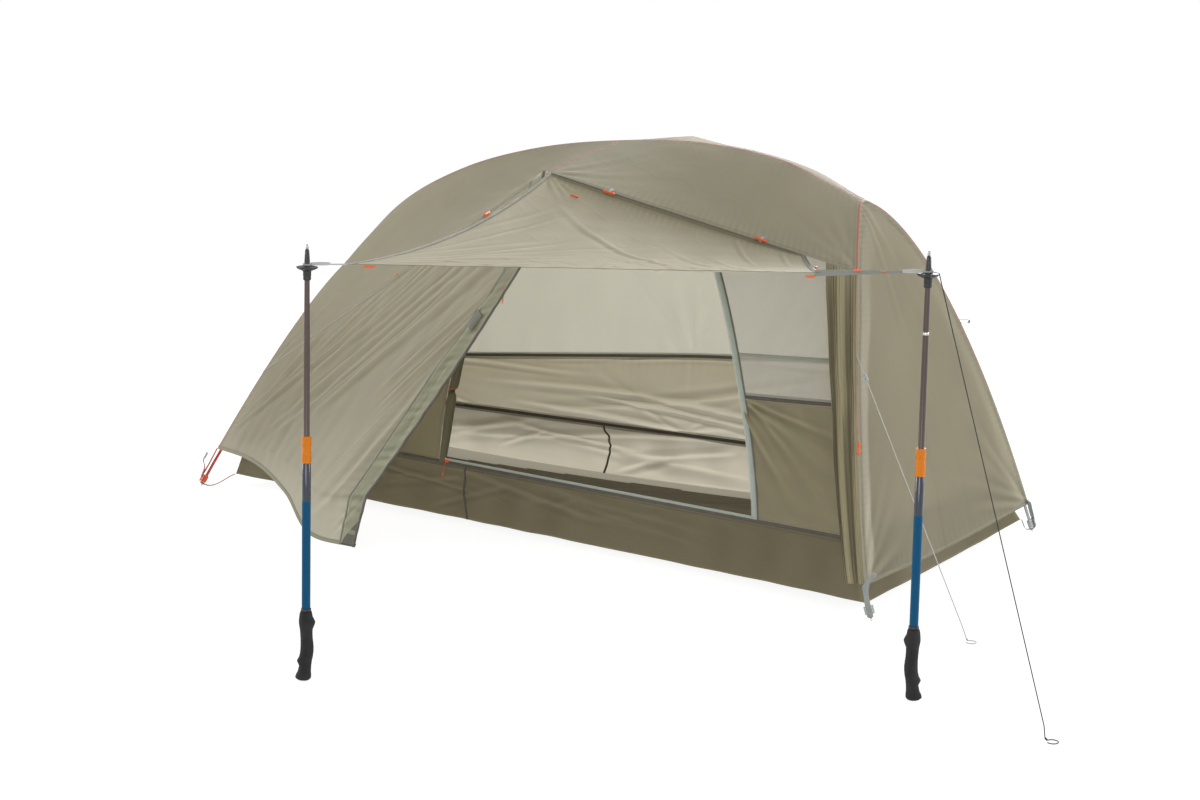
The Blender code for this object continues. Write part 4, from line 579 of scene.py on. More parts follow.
def outline_mesh(name, points, faces, flat, material, body="tent"):
    """A smooth mesh piece with flat coordinates, riding on a body."""
    mesh = bpy.data.meshes.new(name)
    mesh.from_pydata([tuple(point) for point in points], [], faces)
    mesh.uv_layers.new(name="flat").data.foreach_set("uv", np.asarray(flat, float).ravel())
    mesh.polygons.foreach_set("use_smooth", [True] * len(mesh.polygons))
    mesh.materials.append(material)
    made = in_scene(name, mesh)
    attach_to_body(made, body)
    return made


def second_finish(made, material, chosen):
    """The faces whose middle is chosen take a second material."""
    made.data.materials.append(material)
    for polygon in made.data.polygons:
        if chosen(polygon.center):
            polygon.material_index = 1


def loft(name, rings, material, body="tent", caps=True):
    """A skin over closed rings of points."""
    rings = np.asarray(rings, float)
    count, size = rings.shape[:2]
    run = lengths(rings.mean(axis=1))
    if run[-1] < 1e-5:
        run = np.linspace(0.0, 0.01, count)
    steps = np.linalg.norm(rings - np.roll(rings, -1, axis=1), axis=2).max(axis=0)
    ring_run = np.concatenate([[0.0], np.cumsum(steps)])
    faces, flat = [], []
    for row in range(count - 1):
        low, high = row * size, (row + 1) * size
        for spoke in range(size):
            after = (spoke + 1) % size
            faces.append((low + spoke, low + after, high + after, high + spoke))
            left, right = ring_run[spoke], ring_run[spoke + 1]
            flat += [(left, run[row]), (right, run[row]), (right, run[row + 1]), (left, run[row + 1])]
    if caps:
        faces.append(tuple(range(size))[::-1])
        faces.append(tuple((count - 1) * size + spoke for spoke in range(size)))
        flat += [(ring_run[spoke], run[0]) for spoke in range(size)][::-1]
        flat += [(ring_run[spoke], run[-1]) for spoke in range(size)]
    made = outline_mesh(name, rings.reshape(-1, 3), faces, flat, material, body)
    make_outward(made)
    return made


def make_outward(made):
    """Turns a closed skin's faces out if its volume comes out negative."""
    form = bmesh.new()
    form.from_mesh(made.data)
    if form.calc_volume(signed=True) < 0:
        bmesh.ops.reverse_faces(form, faces=form.faces)
    form.to_mesh(made.data)
    form.free()


def rings_at(place, turns, profile):
    """Rings round a place's z axis, one for each radius, or row of radii, and height."""
    return [[place @ Vector((size * math.cos(turn), size * math.sin(turn), height)) for size,
        turn in zip(np.broadcast_to(radius, turns.shape), turns)] for radius, height in profile]


def once_round(steps):
    return np.linspace(0.0, math.tau, steps, endpoint=False)


def lathe(name, profile, material, place=Matrix.Identity(4), steps=32, body="tent", closed=False):
    """A turned piece. The profile runs up the outer side, or round a closed section."""
    profile = [(max(radius, 1e-5), height) for radius, height in profile + profile[:1] * closed]
    return loft(name, rings_at(place, once_round(steps), profile), material, body, caps=not closed)


def rounded(half_width, half_height, corner=0.3, points=3):
    """A flat section with rounded corners."""
    size = min(half_width, half_height) * 2 * corner
    section = []
    for cx, cy, first in ((1, 1, 0.0), (-1, 1, 90.0), (-1, -1, 180.0), (1, -1, 270.0)):
        for turn in np.linspace(first, first + 90.0, points):
            angle = math.radians(turn)
            section.append((cx * (half_width - size) + size * math.cos(angle),
                cy * (half_height - size) + size * math.sin(angle)))
    return section


def circle(radius, sides=10):
    return [(radius * math.cos(turn), radius * math.sin(turn)) for turn in once_round(sides)]


def sweep(name, line, section, material, body="tent", facing=None, scale=None, caps=True):
    """A section carried along a line. facing is a direction, or one for each point, square to its width."""
    line = np.asarray(line, float)
    slopes = np.gradient(line, axis=0)
    rings = []
    up = np.array(facing if facing is not None else (0.0, 0.0, 1.0), float)
    if up.ndim == 1 and abs(unit(slopes[0]).dot(unit(up))) > 0.95 and facing is None:
        up = np.array([1.0, 0.3, 0.0])
    for index, (point, slope) in enumerate(zip(line, slopes)):
        along = unit(slope)
        lean = up[index] if up.ndim == 2 else up
        lean = unit(lean - along * lean.dot(along))
        if up.ndim == 1 and facing is None:
            up = lean
        side = np.cross(along, lean)
        size = scale[index] if scale is not None else 1.0
        rings.append([point + (side * a + lean * b) * size for a, b in section])
    return loft(name, rings, material, body, caps=caps)


def welded(name, parts):
    """Several skins as one object that keeps their materials."""
    first = parts[0]
    if len(parts) > 1:
        with bpy.context.temp_override(active_object=first, selected_editable_objects=parts):
            bpy.ops.object.join()
    first.name = name
    first.data.name = name
    return first


# Sheets of cloth

NO_EDGE = 1.0
CREASE_GAIN = 1.25
PUCKER_GAIN = 0.75
sewn_on = {}


def fold_relief(grid, squares, reach=0.013):
    """How far each point stands out of the cloth round it, from -1 in a valley to 1 on a ridge."""
    rows, columns = grid.shape[:2]
    tall, wide = [min(max(int(round(reach / max(np.linalg.norm(np.diff(grid, axis=axis), axis=2).mean(),
        1e-4))), 1), 6) for axis in (0, 1)]
    wider = np.pad(grid, ((tall, tall), (wide, wide), (0, 0)), mode="edge")
    mean = sum(wider[down:down + rows, across:across + columns] for down in range(2 * tall + 1) for across in
        range(2 * wide + 1))
    mean = mean / ((2 * tall + 1) * (2 * wide + 1))
    return np.clip(np.sum((grid - mean) * squares, axis=2) / 0.0022, -1.0, 1.0)


def lay_cloth(name, grid, material, stitched=EDGES, pole_shadow_edges=(), node=(),
        core=(0.1, 0.0, 0.3), outside=None, pole_foot=0.0):
    """A panel of cloth with flat coordinates and distances to its edges.
    stitched names the edges that have stitches; the other list names those with a pole behind them, down to
    pole_foot, where a red shadow of the pole is painted on the cloth."""
    rows, columns = grid.shape[:2]
    down, across = lengths(grid), lengths(grid, 1)
    away = {"near": down, "far": down[-1:] - down, "left": across, "right": across[:, -1:] - across}
    form = square_to(grid)
    turn = np.asarray(outside) if outside is not None else grid - np.asarray(core)
    flip = np.sum(form * turn) < 0
    index = np.arange(rows * columns).reshape(rows, columns)
    quads = np.stack([index[:-1, :-1], index[1:, :-1], index[1:, 1:], index[:-1, 1:]], axis=2).reshape(-1, 4)
    if not flip:
        quads = quads[:, ::-1]
    flat = np.stack([across - across[:, columns // 2][:, None], down], axis=2).reshape(-1, 2)
    made = outline_mesh(name, grid.reshape(-1, 3), quads.tolist(), flat[quads.ravel()], material)
    nowhere = np.full((rows, columns), NO_EDGE)
    edges = np.stack([away[edge] if edge in stitched else nowhere for edge in EDGES], axis=2)
    # Distance to the edges with a pole behind them, where the material paints the pole's red shadow.
    marks = [np.where(grid[:, :, 2] < pole_foot, NO_EDGE, away[edge]) for edge in pole_shadow_edges] or [nowhere]
    for label, kind, field, values in (("edges", "FLOAT_COLOR", "color", edges),
            ("pole_shadow", "FLOAT", "value", np.min(marks, axis=0)), ("relief", "FLOAT", "value",
            fold_relief(grid, -form if flip else form))):
        made.data.attributes.new(label, kind, "POINT").data.foreach_set(field, values.ravel())
    if node:
        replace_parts(made, *node)
    return made


def opened(grid, seed, square):
    """A shaping step's random draws, its outward directions and a flat height."""
    square = outward_square(grid) if square is None else square
    return np.random.default_rng(seed), square, np.zeros(grid.shape[:2])


def lifted(grid, square, height, rim):
    """The grid moved out by a height that fades away at its edges."""
    return grid + square * (height * edge_window(*grid.shape[:2], rim))[:, :, None]


def worked(grid, *steps, square=None):
    """A panel shaped in steps. Each names a shaping function, its values and its seed."""
    for shape, *values, seed in steps:
        grid = shape(grid, *values, seed=seed, square=square)
    return grid


def creased(grid, corner, angles, depth, reach, width=0.006, spread=0.05, seed=1, square=None):
    """Tension creases that run out from a corner of the panel and die away.
    angles are in degrees in the panel's own plane, from its across direction down."""
    chance, square, height = opened(grid, seed, square)
    rows, columns = height.shape
    middle = unit(square.mean(axis=(0, 1)))
    across = grid[rows // 2, -1] - grid[rows // 2, 0]
    across = unit(across - middle * across.dot(middle))
    down = np.cross(middle, across)
    if down.dot(grid[-1, columns // 2] - grid[0, columns // 2]) < 0:
        down = -down
    local = grid - grid[int(corner[1] * (rows - 1)), int(corner[0] * (columns - 1))]
    u, v = local @ across, local @ down
    for angle in angles:
        turn = math.radians(angle + chance.uniform(-1.2, 1.2))
        along = u * math.cos(turn) + v * math.sin(turn)
        beside = v * math.cos(turn) - u * math.sin(turn)
        size = reach * chance.uniform(0.55, 1.1)
        wide = width + spread * np.clip(along, 0.0, None) * chance.uniform(0.6, 1.2)
        beside = beside + 0.012 * np.sin(along * chance.uniform(5.0, 9.0) + chance.uniform(0, 6))
        window = np.clip(along / 0.05, 0.0, 1.0) * np.clip(1.15 - along / size, 0.0, 1.0) ** 1.2
        ridge = np.exp(-(beside / wide) ** 2) - 0.45 * np.exp(-((beside - wide * 1.7) / wide) ** 2)
        height += ridge * window * chance.uniform(0.4, 1.0)
    return lifted(grid, square, depth * CREASE_GAIN * height, 0.03)


def draped(grid, origin, count, depth, wide, rim=0.03, seed=1, square=None):
    """Long soft folds that fan from a point, each with its own place, bend, start and end."""
    chance, square, height = opened(grid, seed, square)
    middle = unit(square.mean(axis=(0, 1)))
    aim = grid.mean(axis=(0, 1)) - origin
    aim = unit(aim - middle * aim.dot(middle))
    local = grid - origin
    forward, sideways = local @ aim, local @ np.cross(middle, aim)
    reach = np.sqrt(forward ** 2 + sideways ** 2)
    turn = np.arctan2(sideways, forward)
    low, high = turn.min(), turn.max()
    near, far = reach.min(), reach.max()
    for number in range(count):
        lane = (number + chance.uniform(0.15, 0.85)) / count
        start = near + (far - near) * chance.uniform(-0.2, 0.45)
        size = (far - near) * chance.uniform(0.35, 0.95)
        bend = 0.012 * np.sin(reach * chance.uniform(3.0, 8.0) + chance.uniform(0, 6.28))
        beside = (turn - low - (high - low) * lane) * reach + bend
        girth = wide * chance.uniform(0.6, 1.5) * (0.7 + 0.5 * (reach - near) / (far - near))
        window = eased((reach - start) / (0.22 * size), (start + size - reach) / (0.35 * size))
        lean = chance.uniform(-0.45, 0.45)
        ridge = np.exp(-np.abs(beside / girth) ** 1.5) - 0.5 * np.exp(-((beside - girth * (1.6 + lean)) / girth)
            ** 2)
        height += ridge * window * chance.uniform(0.35, 1.0)
    return lifted(grid, square, depth * height, rim)


def eased(start, end):
    """A soft window from the shares of its rise and its fall."""
    window = np.clip(start, 0.0, 1.0) * np.clip(end, 0.0, 1.0)
    return window * window * (3 - 2 * window)


def pulled(grid, starts, ends, depth, wide, rim=0.05, seed=1, square=None):
    """Long nearly straight folds that a taut cloth takes, each from a start point towards its end point."""
    chance, square, height = opened(grid, seed, square)
    middle = unit(square.mean(axis=(0, 1)))
    for start, end in zip(starts, ends):
        length = np.linalg.norm(end - start)
        aim = (end - start) / length
        away = grid - start
        along = away @ aim
        sway = 0.005 * np.sin(along * chance.uniform(4.0, 9.0) + chance.uniform(0, 6.28))
        beside = away @ unit(np.cross(middle, aim)) + sway
        first, last = length * chance.uniform(-0.15, 0.3), length * chance.uniform(0.6, 1.05)
        window = eased((along - first) / (0.22 * length), (last - along) / (0.28 * length))
        girth = wide * chance.uniform(0.6, 1.5)
        lean = chance.choice([-1.7, 1.7])
        ridge = np.exp(-np.abs(beside / girth) ** 1.4) - 0.5 * np.exp(-((beside - girth * lean) / girth) ** 2)
        height += ridge * window * chance.uniform(0.2, 1.1) ** 1.3
    return lifted(grid, square, depth * height, rim)


def edge_window(rows, columns, share):
    """1 inside a panel and 0 at its edges."""
    down, across = shares(rows)[:, None], shares(columns)[None, :]
    return (np.clip(np.minimum(down, 1 - down) / share, 0.0, 1.0) * np.clip(np.minimum(across,
        1 - across) / share, 0.0, 1.0)) ** 0.8


def puckered(grid, edge, depth, pitch=0.018, fade=0.03, seed=1, square=None):
    """Small puckers that a sewn edge draws in the cloth beside it."""
    chance, square, height = opened(grid, seed, square)
    work = grid if edge in ("near", "far") else grid.transpose(1, 0, 2)
    if edge in ("far", "right"):
        work = work[::-1]
    away, along = lengths(work), lengths(work[0])
    phase = np.cumsum(chance.uniform(-0.5, 0.5, len(along))) * 0.4
    swell = np.interp(along, np.linspace(0, along[-1], 12), chance.uniform(0.2, 1.0, 12))
    wave = np.sin(along / pitch * math.tau + phase) * swell
    height = wave[None, :] * np.exp(-away / fade) * np.clip(away / 0.004, 0.0, 1.0)
    if edge in ("far", "right"):
        height = height[::-1]
    if edge in ("left", "right"):
        height = height.T
    return lifted(grid, square, depth * PUCKER_GAIN * height, 0.02)


def rippled(grid, depth, size, stretch=(1.0, 1.0), seed=1, square=None):
    """Soft uneven slack over a panel."""
    chance, square, height = opened(grid, seed, square)
    u = lengths(grid[len(grid) // 2])[None, :] * stretch[0]
    v = lengths(grid[:, grid.shape[1] // 2])[:, None] * stretch[1]
    for number in range(9):
        turn = chance.uniform(0, math.pi)
        wave = math.tau / (size * chance.uniform(0.6, 1.8))
        height += np.sin((u * math.cos(turn) + v * math.sin(turn)) * wave + chance.uniform(0, 6.28)) / 4.0
    return lifted(grid, square, depth * height, 0.12)


# Guylines

def ground_loop(end, direction, radius=0.012):
    direction = unit([direction[0], direction[1], 0.0])
    side = np.array([-direction[1], direction[0], 0.0])
    centre = end + direction * radius
    return [centre + (direction * math.cos(turn) + side * math.sin(turn)) * radius for turn in
        np.linspace(math.pi, -0.62 * math.pi, 18)]


def guyline(name, start, stake, material, leader=()):
    """A taut braided cord from the tent to a knotted loop on the ground."""
    start = np.asarray(start, float)
    stake = np.array([stake[0], stake[1], CORD_RADIUS + 0.0001])
    run = stake - start
    before = stake - unit(run) * 0.03
    bend = stake - unit([run[0], run[1], 0.0]) * 0.006 + UP * 0.0035
    path = [*leader, start, *[start + run * share for share in (0.15, 0.33, 0.5, 0.66, 0.8, 0.9)], before, bend,
        *ground_loop(stake, run)]
    path = np.array(path)
    made = sweep(f"{name}_cord", path, circle(CORD_RADIUS, 10), material)
    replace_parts(made, name)
    knot_line = smooth_line([bend, bend + (stake - bend) * 0.5, stake], 8)
    knot = sweep(f"{name}_knot", knot_line, circle(CORD_RADIUS * 1.9, 12), material,
        scale=[0.5, 0.95, 1.1, 0.8, 1.0, 0.8, 1.1, 0.95, 0.5])
    round(float(lengths(path)[-1]), 3)
    return unit(run)


def placed(origin, upward, outward):
    """A place at origin whose z runs along upward and whose x leans to outward."""
    up = Vector(upward).normalized()
    side = up.cross(Vector(outward)).normalized()
    turn = Matrix((side.cross(up), side, up)).transposed().to_4x4()
    return Matrix.Translation(Vector(origin)) @ turn


pole_places = {side: placed(foot, Vector(top) - Vector(foot), facing) for side,
    (foot, top, facing) in POLE_PLACES.items()}
guy_start = between_heights(leg_lines["head_front"], 0.605, 0.555, 1)[0] + unit((0.75, -0.65, 0)) * 0.0024
guy_run = guyline("head_guyline", guy_start, (1.4, -0.52), pale_cord)
ring_middle = np.array(pole_places["right"] @ Vector((0, 0, BASKET_HEIGHT + 0.0022 + GAP + 0.002)))
guy_away = unit([1.8 - ring_middle[0], -1.03 - ring_middle[1], 0.0])
pole_guy_start = ring_middle + guy_away * (FERRULE_RADIUS + 2 * GAP + 0.0025 + GAP)
basket_edge = ring_middle + guy_away * (BASKET_RADIUS + 0.004) + np.array([0.0, 0.0, -0.001])
guyline("pole_guyline", basket_edge, (1.8, -1.03), black_cord, leader=[pole_guy_start])


# Rainfly

def cut_apex(rail, length=0.028):
    rail = rail.copy()
    rail[0] = rail[0] + unit(rail[1] - rail[0]) * length
    return rail


def end_panel(front, rear, hem_middle, cells):
    front, rear = cut_apex(front), cut_apex(rear)
    top = straight(front[0], rear[0], cells)
    hem = smooth_line([front[-1], hem_middle, rear[-1]], cells)
    return patch(top, hem, front, rear)


def rear_wall():
    rear_foot = patch(spine_foot, rear_hem_foot, rear_middle, fly_legs["foot_rear"])
    rear_head = patch(spine_head, rear_hem_head, rear_middle, fly_legs["head_rear"])
    return np.concatenate([rear_foot[:, ::-1], rear_head[:, 1:]], axis=1)


def rainfly():
    """Roof, end walls and rear wall of the fly. Gives back the walls' grids, by name."""
    kept = {}
    roofs = {"head": (refined(patch(spine_head, head_seam, brow_front, leg_upper["head_front"]), 90, 180),
        (rippled, 0.0012, 0.16, 3), (creased, (0, 1), (-62, -50, -38, -20, -8), 0.0022, 0.35, 5),
        (creased, (1, 1), (200, 215, 232, 246), 0.002, 0.3, 6), (puckered, "near", 0.0011, 7),
        (puckered, "far", 0.0009, 8)), "foot": (refined(patch(spine_foot, foot_seam, brow_front,
        leg_upper["foot_front"]), 90, 220), (rippled, 0.0012, 0.18, 13), (creased, (0, 1),
        (-55, -40, -28, -12, -4), 0.0024, 0.5, 15), (creased, (1, 1), (188, 197, 208, 222), 0.0022, 0.45, 16),
        (puckered, "near", 0.001, 17), (puckered, "far", 0.001, 18))}
    for end, steps in roofs.items():
        lay_cloth(f"fly_{end}_roof", worked(*steps), fly_cloth, pole_shadow_edges=("near", "left", "right"),
            node=(f"fly_roof_{end}",))
    for end, seed in (("head", 20), ("foot", 30)):
        wall = refined(end_panel(fly_legs[f"{end}_front"], fly_legs[f"{end}_rear"], HEM_MIDDLES[end], 6), 200,
            120)
        kept[f"{end}_side"] = wall = worked(wall, (rippled, 0.0022, 0.22, seed),
            (creased, (0, 1), (-84, -74, -62, -50, -36, -20, -8), 0.003, 0.55, seed + 1),
            (creased, (1, 1), (188, 200, 214, 230, 246, 258), 0.003, 0.5, seed + 2),
            (creased, (0, 0), (84, 74, 66), 0.0022, 0.5, seed + 3), (puckered, "left", 0.001, seed + 4),
            (puckered, "right", 0.001, seed + 5), (puckered, "far", 0.0008, 0.03, seed + 6))
        lay_cloth(f"fly_{end}_side", wall, fly_cloth, pole_shadow_edges=("left", "right"),
            pole_foot=0.42 if end == "head" else 0.0, node=(f"fly_{end}_wall",))
    kept["rear_side"] = rear = worked(refined(rear_wall(), 240, 360), (rippled, 0.0026, 0.26, 41),
        (creased, (0, 1), (-72, -55, -38, -22, -10), 0.0034, 0.7, 42), (creased, (1, 1),
        (188, 200, 216, 232, 250), 0.0034, 0.7, 43), (creased, (0.54, 1), (-120, -105, -90, -76, -62), 0.003,
        0.5, 44), (puckered, "near", 0.0011, 45), (puckered, "far", 0.001, 0.035, 46))
    lay_cloth("fly_rear_side", rear, fly_cloth, pole_shadow_edges=("near", "left", "right"), node=("fly_rear_wall",))
    return kept


def vestibule():
    """The pegged panel: long creases fan from the foot corner and run down along the zip."""
    door = refined(patch(foot_seam, left_hem[::-1], zip_edge, leg_lower["foot_front"]), 240, 260)
    square = outward_square(door, (0.1, 0.3, 0.3))
    chance = np.random.default_rng(50)

    def spot(across, down):
        return door[int(round(down * (door.shape[0] - 1))), int(round(across * (door.shape[1] - 1)))]

    for count, depth, wide, seed in ((22, 0.009, 0.01, 51), (14, 0.003, 0.0055, 52)):
        starts, ends = [], []
        for number in range(count):
            share = min(max((number + chance.uniform(-0.3, 0.3)) / (count - 1), 0.0), 1.0)
            half = share * 2 if share < 0.5 else share * 2 - 1
            starts.append(spot(0.75 * (1 - half), 0.0) if share < 0.5 else spot(0.0, 0.5 * half))
            ends.append(spot(1.0, 0.66 + 0.34 * half) if share < 0.5 else spot(1.0 - 0.88 * half, 1.0))
        door = pulled(door, starts, ends, depth, wide, seed=seed, square=square)
    door = worked(door, (rippled, 0.0018, 0.11, (1.6, 0.5), 55), (puckered, "left", 0.0015, 0.035, 0.05, 56),
        (puckered, "near", 0.001, 57), (puckered, "right", 0.0012, 58), square=square)
    lay_cloth("fly_vestibule", door, fly_cloth, pole_shadow_edges=("right",), node=("vestibule_wall",))
    return door, square


def tied_door():
    """The head side's door cloth, drawn together lengthwise against the front head leg."""
    rail = evenly(leg_lower["head_front"], 160)
    down = shares(len(rail))[:, None]
    reach = 0.085 - 0.035 * down
    towards_foot = unit(head_seam[0] - head_seam[-1])
    free = rail + towards_foot * reach * (1 - down) + np.array([-1.0, -0.1, 0.0]) * reach * down
    rail = rail.copy()
    rail[-1] = rail[-1] + unit(rail[-2] - rail[-1]) * 0.004
    columns = 150
    grid = patch(straight(free[0], rail[0], columns), straight(free[-1], rail[-1], columns), free, rail)
    across = shares(columns + 1)[None, :]
    shake = 0.05 * np.sin(down * 9.0 + 1.0) + 0.03 * np.sin(down * 21.0)
    phase = across ** 1.15 * 5.5 + shake * (1 - across)
    folds = (0.5 - 0.5 * np.cos(math.tau * phase)) ** 0.8
    folds = folds + 0.3 * np.sin(math.tau * (phase * 2.3 + 0.4 * down))
    hold = (0.3 + 0.7 * np.sin(math.pi * np.clip(down * 0.96, 0.0, 1.0)) ** 0.6) * (1 - across) ** 0.35
    pinch = 1.0 - 0.45 * np.exp(-((down - 0.42) / 0.05) ** 2)
    outward = -unit((0.35, 1.0, -0.25))
    grid = grid + outward * (0.0085 * folds * hold * pinch)[:, :, None]
    grid = grid + unit(np.cross(outward, UP)) * (0.0035 * np.sin(2 * math.tau * phase) * hold)[:, :, None]
    lay_cloth("fly_tied_door", grid, door_cloth, stitched=("left", "right"),
        node=("tied_door",), outside=outward)


fly_grids = rainfly()
vestibule_grid, vestibule_square = vestibule()
tied_door()


# Awning

def awning_surface(rows=150, columns=200, seam_share=AWNING_EDGE_SHARE):
    attach = straight(head_seam[0], head_seam[0] + (head_seam[-1] - head_seam[0]) * seam_share, columns)
    attach = attach + np.array([0.0, -0.0006, -0.0014])
    across, down = shares(columns + 1), shares(rows + 1)
    attach = attach + unit(attach[1] - attach[0]) * 0.01 * np.clip(1 - across[:, None] * 14, 0.0, 1.0)
    front = straight(AWNING_LEFT, AWNING_RIGHT, columns)
    left, right = straight(attach[0], front[0], rows), straight(attach[-1], front[-1], rows)
    left[:, 2] -= 0.04 * 4 * down * (1 - down)
    right[:, 2] -= 0.005 * 4 * down * (1 - down)
    grid = patch(attach, front, left, right)
    grid[:, :, 2] -= 0.038 * np.sin(math.pi * down[:, None] ** 0.5) * (4 * across * (1 - across)) ** 0.5
    return grid


def awning():
    """The door panel held out on two poles: it sags, and creases run from its held corners."""
    grid = awning_surface()
    up = square_to(grid)
    up = up * np.sign(up[..., 2].sum())
    left, right = grid[-1, 0], grid[-1, -1]
    grid = worked(grid, (creased, (0, 0), tuple(np.linspace(12, 80, 13)), 0.0011, 0.16, 0.0035, 0.05, 61),
        (draped, left + (left - grid[0, -1]) * 0.12, 18, 0.004, 0.0095, 0.09, 62),
        (draped, right + (right - grid[0, 0]) * 0.08, 12, 0.0034, 0.008, 0.09, 63), (rippled, 0.0016, 0.15, 65),
        (puckered, "near", 0.0012, 66), (puckered, "far", 0.0006, 0.04, 67), square=up)
    lay_cloth("fly_awning", grid, shaded_awning_cloth, node=("awning",), outside=UP)
    return grid


awning_grid = awning()


# Inner tent

def inner_leg(name, hub_point, corner):
    moved = shifted_in(leg_lines[name][::8], INNER_LEG_STAND, lambda point: (LEGS[name][0][0], 0.0, 0.35))
    inside = moved[(moved[:, 2] < hub_point[2] - 0.14) & (moved[:, 2] > corner[2] + 0.16)]
    return smooth_line([hub_point, *evenly(inside, 3), corner], 6 * FINE)


def tub_corner(values, side):
    return np.array([values[0], side * values[1], values[2]])


def rim_point(x, side):
    share = (x - TUB_FOOT[0]) / (TUB_HEAD[0] - TUB_FOOT[0])
    low, high = tub_corner(TUB_FOOT, side), tub_corner(TUB_HEAD, side)
    return low + (high - low) * share


spine_line = np.vstack([spine_foot[::-1], spine_head[1:]])
spine_axis = shifted_in(smooth_line(spine_line[::6], 120), FLY_STAND, lambda point: (point[0], point[1],
    point[2] - 1))
ridge_inside = spine_axis[(spine_axis[:, 0] > INNER_HUBS["foot"][0] + 0.05) & (spine_axis[:,
    0] < INNER_HUBS["head"][0] - 0.05)]
ridge_line = np.vstack([INNER_HUBS["foot"], ridge_inside - UP * INNER_DROP, INNER_HUBS["head"]])
ridge_crossing = np.array([PEAK[0], 0.0, np.interp(PEAK[0], ridge_line[:, 0], ridge_line[:, 2])])
ridge_foot = evenly(np.vstack([ridge_line[ridge_line[:, 0] < PEAK[0]], ridge_crossing]), 5 * FINE)
ridge_head = evenly(np.vstack([ridge_crossing, ridge_line[ridge_line[:, 0] > PEAK[0]]]), 5 * FINE)
inner_legs = {}
for inner_end, tub in (("head", TUB_HEAD), ("foot", TUB_FOOT)):
    for inner_name, inner_sign in (("front", -1), ("rear", 1)):
        key = f"{inner_end}_{inner_name}"
        inner_legs[key] = inner_leg(key, np.array(INNER_HUBS[inner_end]), tub_corner(tub, inner_sign))


def inner_side(side, brow):
    name = "front" if side < 0 else "rear"
    below_brow = rim_point(PEAK[0], side)
    bulge = (brow + below_brow) / 2 + np.array([0.0, side * INNER_SIDE_BULGE, INNER_SIDE_RISE])
    middle = joined(straight(ridge_crossing, brow, 2 * FINE), smooth_line([brow, bulge, below_brow], 4 * FINE))
    half = 5 * FINE
    rim_foot = straight(below_brow, tub_corner(TUB_FOOT, side), half)
    rim_head = straight(below_brow, tub_corner(TUB_HEAD, side), half)
    foot_leg = inner_legs[f"foot_{name}"]
    foot_half = patch(ridge_foot[::-1], rim_foot, middle, foot_leg)
    if side < 0:
        cut = 2 * FINE
        shoulder = straight(middle[cut], foot_leg[cut], half)
        high = patch(ridge_foot[::-1], shoulder, middle[:cut + 1], foot_leg[:cut + 1])
        low = patch(shoulder, rim_foot, middle[cut:], foot_leg[cut:])
        foot_half = np.concatenate([high, low[1:]], axis=0)
    head_half = patch(ridge_head, rim_head, middle, inner_legs[f"head_{name}"])
    return np.concatenate([foot_half[:, ::-1], head_half[:, 1:]], axis=1)


def on_surface(grid, across, down):
    columns, rows = grid.shape[1] - 1, grid.shape[0] - 1
    column = min(int(across * columns), columns - 1)
    row = min(int(down * rows), rows - 1)
    u, v = across * columns - column, down * rows - row
    top = grid[row, column] * (1 - u) + grid[row, column + 1] * u
    bottom = grid[row + 1, column] * (1 - u) + grid[row + 1, column + 1] * u
    return top * (1 - v) + bottom * v


def door_half_width(height):
    return DOOR_HALF_WIDTH * max(1 - (height / DOOR_HEIGHT) ** DOOR_POWER, 0.0) ** (1 / DOOR_POWER)


def door_height(height):
    if height <= LOW_WALL_SHARE:
        return height
    return LOW_WALL_SHARE + (height - LOW_WALL_SHARE) * (DOOR_SHOULDER - LOW_WALL_SHARE) / (1 - LOW_WALL_SHARE)


def front_band(surface, depth_rows=40):
    """The front wall as a band from its outer edge in to the door's outline."""
    heights = shares(6 * FINE + 1)
    jambs = [(door_half_width(door_height(height)), door_height(height)) for height in heights]
    outer = [(0.0, height) for height in heights]
    inner = [(DOOR_MIDDLE - half, height) for half, height in jambs]
    shoulder = door_half_width(DOOR_SHOULDER)
    for share in shares(10 * FINE + 1)[1:]:
        outer.append((share, 1.0))
        across = DOOR_MIDDLE - shoulder * math.cos(math.pi * share)
        offset = abs(across - DOOR_MIDDLE) / DOOR_HALF_WIDTH
        inner.append((across, DOOR_HEIGHT * (1 - offset ** DOOR_POWER) ** (1 / DOOR_POWER)))
    outer += [(1.0, height) for height in heights[::-1][1:]]
    inner += [(DOOR_MIDDLE + half, height) for half, height in jambs[::-1][1:]]
    return np.array([[on_surface(surface, u0 + (u1 - u0) * depth, 1.0 - v0 - (v1 - v0) * depth) for (u0, v0),
        (u1, v1) in zip(outer, inner)] for depth in shares(depth_rows + 1)])


